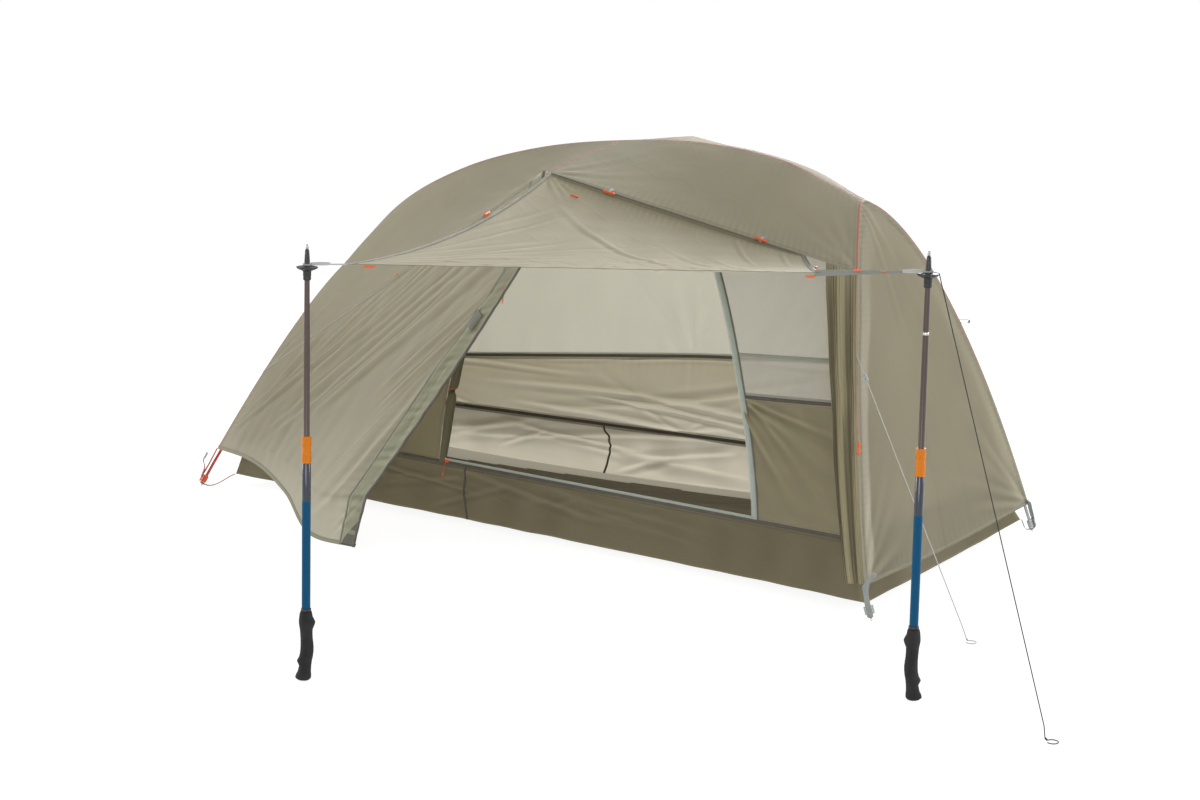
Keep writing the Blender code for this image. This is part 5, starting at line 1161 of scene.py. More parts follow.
def tub_rim_ring():
    """Points once round the tub's top edge and the floor's edge below it."""
    share = np.linspace(0.0, 1.0, 240, endpoint=False)
    bow = 4 * share * (1 - share)
    half = FLOOR_FOOT[1] + (FLOOR_HEAD[1] - FLOOR_FOOT[1]) * share - 0.06 * bow
    x = FLOOR_FOOT[0] + (FLOOR_HEAD[0] - FLOOR_FOOT[0]) * share
    front_low = np.stack([x, -half, 0.02 + 0.016 * (1 - bow)], axis=1)
    foot, head = tub_corner(TUB_FOOT, -1), tub_corner(TUB_HEAD, -1)
    front_top = foot + (head - foot) * share[:, None]

    def end(floor, tub, direction):
        part = np.linspace(0.0, 1.0, 90, endpoint=False)
        bend = 4 * part * (1 - part)
        side = (2 * part - 1) * direction
        edge = np.stack([floor[0] - direction * 0.02 * bend, side * floor[1], 0.02 + 0.016 * (1 - bend)],
            axis=1)
        rim = np.stack([np.full_like(side, tub[0]), side * tub[1], np.full_like(side, tub[2])], axis=1)
        return edge, rim

    def mirrored(line, last):
        return np.vstack([[last], (line * np.array([1, -1, 1]))[::-1][:-1]])

    head_low, head_top = end(FLOOR_HEAD, TUB_HEAD, 1.0)
    foot_low, foot_top = end(FLOOR_FOOT, TUB_FOOT, -1.0)
    low = np.vstack([front_low, head_low, mirrored(front_low, (*FLOOR_HEAD, 0.036)), foot_low])
    top = np.vstack([front_top, head_top, mirrored(front_top, TUB_HEAD), foot_top])
    return top, low


def tub():
    """The floor and its walls as one sheet that runs down the walls and in to the middle."""
    top, low = tub_rim_ring()
    rows = [top + (low - top) * share for share in shares(TUB_ROWS)]
    for share in np.linspace(1.0, 0.0, 60)[1:-1]:
        ring = low * np.array([share, share, 0.0]) + UP * 0.0014
        ring[:, 2] += low[:, 2] * np.clip((share - 0.66) / 0.34, 0.0, 1.0)
        rows.append(ring)
    grid = np.array(rows)
    grid = np.concatenate([grid, grid[:, :1]], axis=1)
    chance = np.random.default_rng(71)
    run = lengths(grid[0])
    wave = np.zeros(len(run))
    for number in range(14):
        cycles = chance.integers(3, 42)
        wave += np.sin(run / run[-1] * math.tau * cycles + chance.uniform(0, 6.28)) * chance.uniform(0.3, 1.0)
    depth = np.sin(math.pi * np.clip(np.arange(len(rows)) / 27.0, 0.0, 1.0))[:, None]
    square = outward_square(grid, (0.0, 0.0, 0.6))
    swell = np.stack([np.interp(run + slant * 0.12, run, wave) for slant in shares(len(rows))])
    grid = grid + square * (0.0016 * swell * depth)[:, :, None]
    chance = np.random.default_rng(74)
    for first, last, depth, seed in ((330, 570, 0.012, 72), (0, 240, 0.005, 73)):
        wall = grid[:TUB_ROWS, first:last]
        starts, ends = [], []
        for number in range(15):
            here = int(chance.uniform(2, 200))
            there = min(max(here + int(chance.uniform(35, 110) * chance.choice([-1, 1])), 0), 239)
            starts.append(wall[int(chance.uniform(1, 9)), here])
            ends.append(wall[int(chance.uniform(16, 25)), there])
        grid[:TUB_ROWS, first:last] = pulled(wall, starts, ends, depth, 0.0105, 0.08, seed,
            square[:TUB_ROWS, first:last])
    return grid


def cut_line(line, place):
    """A line cut in two at a place counted in its points."""
    whole = min(int(place), len(line) - 2)
    point = line[whole] + (line[whole + 1] - line[whole]) * (place - whole)
    return np.vstack([line[:whole + 1], point]), np.vstack([point, line[whole + 1:]])


def split_level(lines, place, upper_cells, lower_cells):
    """Lines of a panel cut in two at a place in each: the parts before it and the parts after it."""
    pairs = [cut_line(line, place(line)) for line in lines]
    return (np.array([evenly(first, upper_cells) for first, second in pairs]),
        np.array([evenly(second, lower_cells) for first, second in pairs]))


def inner_tent():
    """Walls, nets, pocket panel and floor. Gives back the front band and the grids that carry trims."""
    rear = worked(refined(inner_side(1, np.array(INNER_BROW_REAR)), 180, 300), (rippled, 0.003, 0.25, 81))

    def seam_place(column):
        above_seam = column[:, 2] - 0.4105 - 0.073 * column[:, 0]
        return float(np.interp(0.0, -above_seam, np.arange(len(column))))

    net_rear, solid = [part.transpose(1, 0, 2) for part in split_level(rear.transpose(1, 0, 2), seam_place, 120,
        90)]
    net_rear = creased(net_rear, (0.5, 1), (-130, -110, -92, -75, -58), 0.003, 0.5, seed=82)
    lay_cloth("inner_rear_net", net_rear, pale_net, node=("inner_rear_mesh",))
    left, middle, right = solid[0, [0, 150, -1]]
    solid = worked(solid, (creased, (0, 0), (8, 14, 22, 32, 45), 0.0045, 0.8, 0.005, 83),
        (creased, (1, 0), (176, 168, 158, 146), 0.0045, 0.8, 0.005, 84), (creased, (0.5, 1),
        (-168, -150, -30, -12), 0.0035, 0.5, 0.005, 85), (draped, left + (left - middle) * 0.3, 12, 0.0095,
        0.011, 88), (draped, right + (right - middle) * 0.3, 10, 0.0085, 0.01, 89),
        (puckered, "near", 0.0004, 0.03, 0.03, 86))
    lay_cloth("inner_rear_panel", solid, wall_cloth, node=("inner_rear_wall",))
    for end, seed in (("head", 90), ("foot", 95)):
        front_leg, rear_leg = cut_apex(inner_legs[f"{end}_front"]), cut_apex(inner_legs[f"{end}_rear"])
        top, hem = straight(front_leg[0], rear_leg[0], 24), straight(front_leg[-1], rear_leg[-1], 24)
        wall = worked(refined(patch(top, hem, front_leg, rear_leg), 140, 100), (rippled, 0.003, 0.2, seed),
            (creased, (0, 1), (-75, -55, -35, -15), 0.004, 0.5, seed + 1), (creased, (1, 1),
            (195, 215, 238, 256), 0.004, 0.5, seed + 2))
        lay_cloth(f"inner_{end}_panel", wall, wall_cloth, node=(f"inner_{end}_wall",))
    band = front_band(inner_side(-1, np.array(INNER_BROW_FRONT)))
    cells = 6 * FINE + 1

    def pocket_place(row):
        return float(np.interp(-POCKET_TOP, -row[-cells:, 2], np.arange(cells))) + len(row) - cells

    net, panel = split_level(band, pocket_place, 300, 90)
    net = rippled(refined(net, 60, 300), 0.0014, 0.15, seed=101)
    made = lay_cloth("inner_front_net", net, pale_net, node=("inner_front_mesh",))
    second_finish(made, pocket_cloth, lambda middle: middle.z < POCKET_TOP and middle.x < DOOR_MIDDLE)
    panel = refined(panel, 120, 90)
    panel = worked(panel, (creased, (0, 1), (-24, -36, -46, -56, -66), 0.0055, 0.35, 0.003, 0.03, 102),
        (rippled, 0.002, 0.08, 103), square=outward_square(panel))
    lay_cloth("inner_pocket_panel", panel, pocket_cloth, node=("inner_front_pocket",))
    floor = tub()
    made = lay_cloth("floor_sheet", floor, tub_cloth, stitched=("near",), node=("floor_tub",),
        core=(0.0, 0.0, 0.4))
    second_finish(made, ground_cloth, lambda middle: middle.z < GROUND_TOP)
    return band, net_rear, floor


door_band, rear_net_grid, tub_grid = inner_tent()
door_line = door_band[-1]


# Pole frame

SOCKET_START = 0.0066


def from_hub(line, centre):
    away = np.linalg.norm(line - np.asarray(centre), axis=1)
    kept = line[away > 0.045]
    return centre + unit(kept[0] - centre) * (SOCKET_START + 2 * GAP), kept


def tent_pole(name, points, node, joints, finish=None):
    """A smooth tube with slightly wider joining sleeves at the given shares of its length."""
    line = evenly(points, 160)
    tube = sweep(name, line, circle(POLE_RADIUS - 0.0002, 20), finish or red_pole)
    parts = [tube]
    along = lengths(line)
    for share in joints:
        inside = np.abs(along - share * along[-1]) < 0.035
        parts.append(sweep(f"{name}_sleeve", line[inside], circle(POLE_RADIUS, 20), bare_metal))
    made = welded(name, parts)
    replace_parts(made, node)
    return made


def pole_frame():
    spine = shifted_in(smooth_line(spine_line, 60), FLY_STAND, lambda point: (point[0], point[1],
        point[2] - 1.0))
    head_centre, foot_centre = spine[-1], spine[0]
    foot_start, kept = from_hub(spine, foot_centre)
    head_start, kept = from_hub(kept[::-1], head_centre)
    kept = kept[::-1]
    clear = 0.016
    foot_run = evenly(kept[kept[:, 0] < PEAK[0] - clear], 15)
    head_run = evenly(kept[kept[:, 0] > PEAK[0] + clear], 12)
    tent_pole("spine_tube", np.vstack([foot_start, foot_run, head_run, head_start]), "spine_pole",
        (0.2, 0.4, 0.62, 0.82))
    frames = {}
    for name, line in leg_lines.items():
        end = name.split("_")[0]
        centre = head_centre if end == "head" else foot_centre
        hub_x = LEGS[name][0][0]
        moved = shifted_in(line[::8], FLY_STAND, lambda point: (hub_x, 0.0, 0.35))
        above = moved[(moved[:, 2] < centre[2] - 0.004) & (moved[:, 2] > 0.0035)]
        direction = unit(above[-5] - above[-1])
        ground = above[-1] - direction * (above[-1][2] - 0.0035) / direction[2]
        frames[name] = placed(ground, direction, np.array([ground[0] - hub_x, ground[1], 0.0]))
        socket = ground + direction * 0.0163
        straight_top = ground + direction * 0.079
        start, kept = from_hub(above[above[:, 2] > straight_top[2] + 0.01], centre)
        tent_pole(f"{name}_tube", np.vstack([start, evenly(kept, 14), straight_top, socket]), f"{name}_leg",
            (0.35, 0.7), grey_pole if end == "head" else red_pole)
    height = np.interp(PEAK[0], spine[:, 0], spine[:, 2])
    middle = np.array([PEAK[0], 0.0, height - 2 * POLE_RADIUS - 3 * GAP])
    ends = []
    for tip in (BROW_FRONT, BROW_REAR):
        tip = np.asarray(tip, float)
        reach = unit(np.array([tip[0] - PEAK[0], tip[1], 0.0]))
        ends.append(tip - reach * 0.014 - np.array([0.0, 0.0, FLY_STAND + 0.002]))
    along = unit((ends[1] - ends[0]) * np.array([1.0, 1.0, 0.0]))
    half = along * 0.016
    rise = UP * 0.008
    front_run = smooth_line([ends[0], (ends[0] + middle) / 2 + rise, middle - half], 6)
    rear_run = smooth_line([middle + half, (ends[1] + middle) / 2 + rise, ends[1]], 6)
    tent_pole("brow_tube", np.vstack([front_run, rear_run]), "brow_pole", (0.24, 0.76))
    return frames


tip_places = pole_frame()
for bare_node in ("head_hub", "foot_hub", "brow_swivel", "foot_clip", "peak_clip", "head_clip"):
    for place_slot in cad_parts[bare_node].material_slots:
        place_slot.material = grey_plastic


# Corner fittings

def at(place, points):
    return np.array([place @ Vector(point) for point in points])


def in_mm(*pairs):
    """A profile of radii and heights given in millimetres."""
    return [(radius / 1000, height / 1000) for radius, height in pairs]


def strap(name, line, facing, width, material, thickness=0.0013, body="tent"):
    return sweep(name, line, rounded(width / 2, thickness / 2, 0.45, 2), material, body, facing=facing)


def bar(name, start, end, width, depth, facing, material, body="tent"):
    """A moulded bar with rounded edges and slightly narrower ends."""
    start, end = np.asarray(start), np.asarray(end)
    line = np.array([start + (end - start) * share for share in (0.0, 0.03, 0.08, 0.5, 0.92, 0.97, 1.0)])
    return sweep(name, line, rounded(width / 2, depth / 2, 0.35, 4), material, body, facing=facing,
        scale=[0.72, 0.92, 1.0, 1.0, 1.0, 0.92, 0.72])


def corner_fitting(name, place, fly_corner, floor_corner, warm):
    """Turned tip, ladder buckle and webbing that hold the fly and the floor to a pole's foot."""
    webbing = red_webbing if warm else grey_webbing
    plastic = orange_plastic if warm else grey_plastic
    profile = in_mm((0, -3.5), (1.8, -3), (3, -1.8), (3.5, 0), (3.2, 1.8), (2.6, 3.2), (2.4, 6), (2.6, 9.3),
        (6, 9.7), (6.8, 10.3), (6.8, 11.7), (6.1, 12.3), (5.6, 13), (5.8, 14.5), (5.8, 32.5), (5.5, 34),
        (4.7, 34), (4.65, 16.3), (0, 16.3))
    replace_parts(lathe(f"{name}_point", profile, bare_metal, place, 36), f"{name}_tip")
    base, height = 0.0128, 0.02
    top = base + height
    ring_in, ring_out = 0.0061, 0.0079
    section = [(ring_in, base), (ring_out - 0.0004, base), (ring_out, base + 0.0006), (ring_out, top - 0.0006),
        (ring_out - 0.0004, top), (ring_in, top)]
    parts = [lathe(f"{name}_ladder", section, plastic, place, 36, closed=True)]
    plate_x = 0.0058 + GAP + 0.0012 + 0.002
    turned = place.to_3x3()
    out, across = turned @ Vector((1, 0, 0)), np.array(turned @ Vector((0, 1, 0)))
    for y in (-0.0102, 0.0102):
        parts.append(bar(f"{name}_rail", *at(place, [(plate_x, y, base - 0.0002), (plate_x, y, top)]), 0.0036,
            0.004, out, plastic))
    for level in (0.0014, 0.01, 0.0186):
        line = at(place, [(plate_x + (0.0006 if level > 0.005 else 0), y, base + level) for y in (-0.0104,
            -0.005, 0.0, 0.005, 0.0104)])
        parts.append(sweep(f"{name}_bar", line, rounded(0.0014, 0.0018, 0.4, 3), plastic, facing=out))
    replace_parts(welded(f"{name}_ladder", parts), f"{name}_buckle")

    def band(part, points, cells, width):
        path = smooth_line(at(place, points), cells)
        facing = np.cross(np.gradient(path, axis=0), across)
        return strap(f"{name}_{part}", path, facing, width, webbing), path, facing

    face = plate_x + 0.002 + 0.0006 + GAP
    inverse = place.inverted()
    parts = [band("fly_band", [inverse @ Vector(fly_corner), (face, 0, top + 0.008), (face + 0.0006, 0, top),
        (face - 0.0012, 0, base + 0.015), (face + 0.0008, 0, base + 0.01), (face - 0.001, 0, base + 0.005),
        (face, 0, base - 0.001), (face * 0.72, 0, 0.0085), (0.0046, 0, 0.0064)], 60, 0.013)[0]]
    floor_local = inverse @ Vector(floor_corner)
    inward = Vector((floor_local.x, floor_local.y, 0.0)).normalized()
    low_path = smooth_line(at(place, [inward * 0.0046 + Vector((0, 0, 0.0066)),
        inward * 0.012 + Vector((0, 0, 0.0075)), floor_local]), 24)
    parts.append(strap(f"{name}_floor_band", low_path, UP, 0.0092, webbing))
    parts.append(lathe(f"{name}_eye", in_mm((3, 4.5), (6.2, 4.5), (6.4, 6), (6.2, 8.5), (3, 8.5)), webbing,
        place, 28, closed=True))
    made, path, facing = band("tail", [(face + 0.0016, 0, base + 0.012), (face + 0.003, 0, base + 0.024),
        *TAILS[name]], 50, 0.0125)
    end_dir = unit(path[-1] - path[-2])
    fold = np.array([path[-1] - end_dir * reach for reach in (0.016, 0.008, -0.001)])
    parts += [made, strap(f"{name}_tail_fold", fold, facing[-1], 0.0128, grey_webbing if warm else webbing,
        0.0034)]
    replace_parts(welded(f"{name}_straps", parts), f"{name}_webbing")


TAILS = {"head_front": [(0.016, 0.004, 0.07), (0.03, 0.016, 0.092), (0.046, 0.034, 0.1)],
    "head_rear": [(0.014, -0.004, 0.06), (0.012, -0.008, 0.085), (0.004, -0.01, 0.096)],
    "foot_front": [(0.02, 0.003, 0.056), (0.034, 0.006, 0.072), (0.036, 0.008, 0.098)],
    "foot_rear": [(0.018, -0.003, 0.05), (0.03, -0.004, 0.06), (0.044, -0.006, 0.05)]}
for corner_name, corner_place in tip_places.items():
    at_foot = corner_name.startswith("foot")
    floor_values = FLOOR_FOOT if at_foot else FLOOR_HEAD
    corner_side = -1.0 if corner_name.endswith("front") else 1.0
    fly_point = fly_legs[corner_name][-1]
    plan = unit([fly_point[0] - LEGS[corner_name][0][0], fly_point[1], 0.0])
    floor_point = np.array([floor_values[0], corner_side * floor_values[1], 0.036]) + plan * 0.0022
    corner_fitting(corner_name, corner_place, fly_point + plan * 0.0004, floor_point, at_foot)


# Walking poles

# Height, left and right reach, and depth of the grip's oval sections
GRIP_SECTIONS = ((0.0, -0.011, 0.004, 0.45), (0.0015, -0.018, 0.008, 0.75), (0.006, -0.0238, 0.0118, 0.93),
    (0.013, -0.022, 0.012, 0.99), (0.02, -0.0183, 0.0113, 1.0), (0.034, -0.015, 0.012, 0.95),
    (0.045, -0.02, 0.0134, 0.97), (0.055, -0.015, 0.0155, 1.0), (0.065, -0.0128, 0.0168, 1.02),
    (0.076, -0.012, 0.0172, 1.03), (0.087, -0.0118, 0.0162, 1.02), (0.097, -0.012, 0.015, 1.0),
    (0.108, -0.0126, 0.0146, 0.99), (0.118, -0.0134, 0.0148, 0.98), (0.127, -0.015, 0.0185, 1.0),
    (0.135, -0.016, 0.0208, 1.03), (0.141, -0.0156, 0.018, 1.0), (0.147, -0.015, 0.0148, 0.98),
    (0.155, -0.014, 0.0135, 0.92), (GRIP_HEIGHT, -0.0125, 0.0125, 0.84))


def grip(name, place, body):
    """The foam grip with its spur, finger swells and flared end, lofted through oval sections."""
    sections = np.array(GRIP_SECTIONS)
    turns = once_round(44)
    rings = []
    for height in np.linspace(0.0, GRIP_HEIGHT, 90):
        left, right, depth = at_lengths(sections[:, 1:], sections[:, 0], height)
        middle, half = (left + right) / 2, (right - left) / 2
        groove = 0.0003 * math.cos(height * math.tau / 0.0055) * (0.062 < height < 0.118)
        rings.append(at(place, [(middle + (half + groove) * math.cos(turn),
            (0.015 * depth + groove) * math.sin(turn), height) for turn in turns]))
    rings += rings_at(place, turns, [(TUBE_RADIUS + GAP, height) for height in (GRIP_HEIGHT, TUBE_FOOT - GAP)])
    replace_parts(loft(f"{name}_foam", rings, grip_foam, body), name)


def walking_pole(side):
    """Grip, tube, twist collar, shaft and upside-down tip with its basket, from the ground up."""
    place = pole_places[side]
    lower, twist = f"{side}_pole_lower", f"{side}_collar"

    def turned(name, profile, material, steps=40, body="tent", closed=False):
        return lathe(f"{side}_{name}", profile, material, place, steps, body, closed)

    grip(f"{side}_pole_grip", place, lower)
    outer, bore, inner_foot = TUBE_RADIUS, TUBE_RADIUS - 0.0012, TUBE_FOOT + 0.003
    blue = turned("tube", [(0.0, TUBE_FOOT), (outer - 0.0002, TUBE_FOOT), (outer, TUBE_FOOT + 0.002),
        (outer, DARK_FOOT), (outer, TUBE_TOP - 0.0006), (outer - 0.0005, TUBE_TOP), (bore, TUBE_TOP),
        (bore, DARK_FOOT), (bore, inner_foot), (0.0, inner_foot)], blue_tube, 48, lower)
    second_finish(blue, navy_tube, lambda middle: (place.inverted() @ middle).z > DARK_FOOT)
    seat = outer - 0.0004
    ring = turned("tube_ring", [(seat, GRIP_HEIGHT - 0.001), (outer + 0.0018, GRIP_HEIGHT),
        (outer + 0.0016, GRIP_HEIGHT + 0.007), (seat, GRIP_HEIGHT + 0.009)], black_plastic, 48, lower,
        closed=True)
    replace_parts(welded(f"{side}_tube", [blue, ring]), f"{side}_pole_tube")

    low, high, outer = TUBE_TOP + GAP, COLLAR_TOP, COLLAR_RADIUS
    middle, hole = (low + high) / 2, SHAFT_RADIUS + GAP
    turns = once_round(96)
    ribs = 0.00055 * (np.cos(turns * 16) > 0.55)
    section = [(outer - 0.0012, low), (outer - 0.0003, low + 0.0008), (outer, low + 0.002),
        (outer, middle - 0.007), (outer - 0.001, middle - 0.0035), (outer - 0.0012, middle),
        (outer - 0.001, middle + 0.0035), (outer - 0.0002, middle + 0.007), (outer - 0.0002, high - 0.003),
        (outer - 0.0008, high - 0.0008), (outer - 0.0018, high), (hole, high), (hole, low),
        (outer - 0.0012, low)]
    ribbed = [(radius - ribs * (radius > outer - 0.0004 and abs(height - middle) > 0.005), height) for radius,
        height in section]
    collar = loft(f"{side}_twist_collar", rings_at(place, turns, ribbed), clear_orange, twist, caps=False)
    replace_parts(collar, f"{side}_pole_collar")

    end, inset = 0.0057, TUBE_RADIUS - 0.0012 - GAP
    parts = [turned("shaft", [(0.0, 0.425), (inset, 0.425), (inset, 0.453), (SHAFT_RADIUS, 0.455),
        (SHAFT_RADIUS, 0.726), (end, NECK_BOTTOM), (end * 0.9, NECK_BOTTOM + 0.03), (0.0, NECK_BOTTOM + 0.03)],
        brown_shaft)]
    if side == "right":
        parts.append(turned("shaft_band", in_mm((6.3, 797), (6.7, 797.4), (6.7, 802.6), (6.2, 803)),
            bare_metal))
    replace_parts(welded(f"{side}_shaft", parts), f"{side}_pole_shaft")

    def above(height, *pairs):
        return [(radius, height + rise) for radius, rise in in_mm(*pairs)]

    neck = turned("ferrule", above(NECK_BOTTOM, (6.4, 0), (7.8, 0), (8.6, 3), (8.8, 6), (8, 7.5),
        (8.8, 9)) + above(BASKET_HEIGHT, (8.8, -12), (9.8, -8), (9.5, 2.2), (FERRULE_RADIUS * 1000, 2.2),
        (6, 12), (4.6, 35), (4, 36.2), (0, 36.2)), black_plastic)
    turns = once_round(120)
    scallops = 0.0016 * (0.5 - 0.5 * np.cos(turns * 12))
    dish = [(radius / 1000 - scallops * scallop, BASKET_HEIGHT + height / 1000) for radius, height,
        scallop in ((9.5, -9, 0), (15, -7, 0.2), (20, -4.6, 0.6), (22.8, -2.8, 1), (23.5, -1.4, 1),
        (23.2, -0.2, 1), (20.5, 0.4, 0.7), (15, 1.2, 0.3), (10, 2, 0))]
    basket = loft(f"{side}_basket", rings_at(place, turns, dish), black_plastic)
    point = turned("carbide", above(BASKET_HEIGHT, (3, 36), (3.1, 40), (2.6, 45), (2.2, 47.4), (1.2, 46.8),
        (0, 46.4)), carbide, 24)
    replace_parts(welded(f"{side}_basket_tip", [neck, basket, point]), f"{side}_pole_tip")


for pole_side in pole_places:
    walking_pole(pole_side)


# Awning straps

def awning_straps():
    """White strap on the left and grey on the right, from the awning's corners to a ring on each pole's tip."""
    low, inner = BASKET_HEIGHT + 0.0022 + GAP, FERRULE_RADIUS + 2 * GAP
    section = [(inner, low), (FERRULE_RADIUS + 0.0028, low), (FERRULE_RADIUS + 0.0031, low + 0.002),
        (FERRULE_RADIUS + 0.0028, low + 0.004), (inner, low + 0.004)]
    for side, corner, wide, narrow, webbing in (("left", awning_grid[-1, 0], 0.0045, 0.9, white_webbing),
            ("right", awning_grid[-1, -1], 0.016, 0.3, strap_webbing)):
        place = pole_places[side]
        centre = np.array(place @ Vector((0, 0, low + 0.002)))
        start = corner + unit(centre - corner) * (2 * GAP)
        end = centre + unit(start - centre) * (inner + 0.002)
        line = evenly([start - unit(end - start) * 0.012, end], 30)
        facing = (0.25, -0.75, 0.6)
        band = sweep(f"{side}_awning_band", line, rounded(wide / 2, 0.0008, 0.45, 2), webbing, facing=facing,
            scale=np.linspace(1.0, narrow, len(line)))
        near_pole = evenly([end - (end - start) * 0.24 / np.linalg.norm(end - start) * 0.18, end], 16)
        loop = sweep(f"{side}_awning_loop", near_pole + np.array([0.0, -0.0012, 0.0016]),
            rounded(0.0048, 0.0011, 0.45, 2), white_webbing, facing=facing,
            scale=[0.4 + 0.6 * math.sin(math.pi * min(1.0, 0.12 + share)) ** 0.5 for share in np.linspace(0.0,
            0.8, len(near_pole))])
        ring = lathe(f"{side}_awning_ring", section, grey_webbing, place, 40, closed=True)
        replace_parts(welded(f"{side}_awning_tape", [band, loop, ring]), f"{side}_awning_strap")


awning_straps()


# Door roll, toggles, sliders, tensioner

def door_roll():
    """The inner door rolled up in a spiral beside its hinge edge and tied with a short loop."""
    hinge = evenly(door_line[:6 * FINE + 1], 240)
    path = evenly(hinge[hinge[:, 2] < 0.56], 80)
    slopes = np.gradient(path, axis=0)
    share, coils = shares(len(path)), shares(150)
    turns = 0.6 + coils * 3.4 * math.tau
    radius = 0.017 * (0.38 + 0.62 * np.sin(math.pi * (0.08 + 0.84 * share)) ** 0.5)
    radius = radius * (1.0 - 0.3 * np.exp(-((share - 0.55) / 0.03) ** 2))
    inward = np.stack([slopes[:, 2], 0 * share, -slopes[:, 0]], axis=1)
    inward /= np.linalg.norm(inward, axis=1)[:, None]
    middle = path + inward * (radius + 3 * GAP)[:, None]
    crumple = 1.0 - 0.07 * (0.5 + 0.5 * np.cos(turns[None, :] * 1.7 + 6.0 * share[:, None]))
    crumple = crumple - 0.04 * (0.5 + 0.5 * np.sin(turns[None, :] * 3.3 - 14.0 * share[:, None]))
    around = np.stack([np.cos(turns), np.sin(turns), 0 * turns], axis=1)
    away = around[None, :, :] * (radius[:, None] * (0.22 + 0.78 * coils)[None, :] * crumple)[:, :, None]
    lay_cloth("rolled_door", middle[:, None, :] + away, rolled_cloth, stitched=(),
        node=("inner_door_roll",), outside=away)
    sweep("door_roll_tie", away[46, -44:] * 1.05 + middle[46], circle(0.0016, 8), orange_cord)


door_roll()


def toggle(name, node, place, along, outward, fall):
    """A moulded bar with rounded ends on a webbing stem, on a body of its own."""
    tilt = math.radians(fall)
    drop = Vector((0, 0, -1)) * math.sin(tilt) + Vector(outward).normalized() * math.cos(tilt)
    start, along = Vector(place), Vector(along).normalized()
    middle = start + drop * 0.011
    steps = np.linspace(-1.0, 1.0, 25)
    line = np.array([middle + along * share * 0.017 for share in steps])
    size = [0.55 + 0.45 * (1 - abs(share) ** 8) ** 0.5 - 0.1 * math.exp(-(share / 0.16) ** 2) for share in
        steps]
    rod = sweep(f"{name}_bar", line, circle(0.0038, 20), orange_plastic, name, scale=size)
    stem = sweep(f"{name}_stem", np.array([start, start + drop * 0.005, middle]),
        rounded(0.0022, 0.0007, 0.4, 2), grey_webbing, name, facing=along.cross(drop))
    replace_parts(welded(f"{name}_piece", [rod, stem]), node)


seam_along = unit(head_seam[-1] - head_seam[0])
for toggle_number, seam_share in enumerate((0.215, 0.7)):
    seam_place = head_seam[0] + (head_seam[-1] - head_seam[0]) * seam_share
    attach_share = min(seam_share / AWNING_SEAM_SHARE, 1.0)
    flat_awning = awning_surface(12, 14, AWNING_SEAM_SHARE)
    seam_outward = on_surface(flat_awning, attach_share, 0.03) - on_surface(flat_awning, attach_share, 0.0)
    seam_outward = unit(seam_outward - seam_along * seam_outward.dot(seam_along))
    seam_upward = -np.cross(seam_along, seam_outward)
    toggle(f"toggle_{toggle_number + 1}", f"seam_toggle_{toggle_number + 1}", seam_place + seam_upward * 0.003,
        seam_along, seam_outward, -5.0)
leg_place = between_heights(leg_lines["head_front"], 0.405, 0.355, 1)
leg_outward = unit((0.6, -0.8, 0.0))
toggle("toggle_3", "leg_toggle", leg_place[0] + leg_outward * 0.0028, leg_place[1] - leg_place[0], leg_outward,
    55.0)


def zip_slider(name, body, place, along, outward, pull_direction):
    """A cast slider with a bridge, and a braided cord pull with a moulded end."""
    along, outward = Vector(along).normalized(), Vector(outward).normalized()
    centre, steps = Vector(place), shares(15)
    line = np.array([centre + along * share for share in np.linspace(-0.0075, 0.0075, 15)])
    cast = sweep(f"{name}_cast", line, rounded(0.0045, 0.003, 0.35, 4), orange_plastic, body, facing=outward,
        scale=[0.62 + 0.38 * math.sin(math.pi * (0.15 + 0.7 * share)) for share in steps])
    arch = np.array([centre + along * math.cos(turn) * 0.0045 + outward * (0.0022 + 0.0022 * math.sin(turn)) for
        turn in np.linspace(0.0, math.pi, 13)])
    bridge = sweep(f"{name}_bridge", arch, rounded(0.0012, 0.0006, 0.4, 2), orange_plastic, body,
        facing=along.cross(outward).normalized())
    direction = Vector(pull_direction).normalized()
    start = centre + outward * 0.003
    cord_line = smooth_line([start, start + direction * 0.01 + outward * 0.0015, start + direction * 0.026,
        start + direction * 0.036], 30)
    cord = sweep(f"{name}_cord", cord_line, circle(0.0012, 10), orange_cord, body)
    end_line = np.array([cord_line[-1] + np.array(direction) * share for share in np.linspace(-0.002, 0.009,
        15)])
    end = sweep(f"{name}_end", end_line, rounded(0.0019, 0.0014, 0.45, 4), orange_plastic, body,
        scale=[0.7 + 0.3 * math.sin(math.pi * (0.1 + 0.8 * share)) for share in steps])
    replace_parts(welded(f"{name}_piece", [cast, bridge, cord, end]), name)


zip_run = unit(np.subtract(ZIP_FOOT, ZIP_KNEE))
coarse = refined(patch(foot_seam, left_hem[::-1], zip_edge, leg_lower["foot_front"]), 12, 24)
zip_into = coarse[6, 4] - coarse[6, 0]
zip_into = unit(zip_into - zip_run * zip_into.dot(zip_run))
zip_out = np.cross(zip_run, zip_into)
zip_out = unit(zip_out * -np.sign(zip_out[1]))
zip_place = np.array(ZIP_KNEE) + zip_run * 0.075 - zip_into * 0.0024
zip_slider("vestibule_slider", "vestibule_zip_slider", zip_place, zip_run, zip_out, (0.0, -0.25, -1.0))
sill_low, sill_high = door_line[0], door_line[-1]
sill_run = unit(sill_high - sill_low)
zip_slider("door_slider", "door_zip_slider", sill_low + sill_run * 0.03 + UP * 0.0048, sill_run,
    (0.0, -1.0, 0.0), (0.0, -0.5, -1.0))


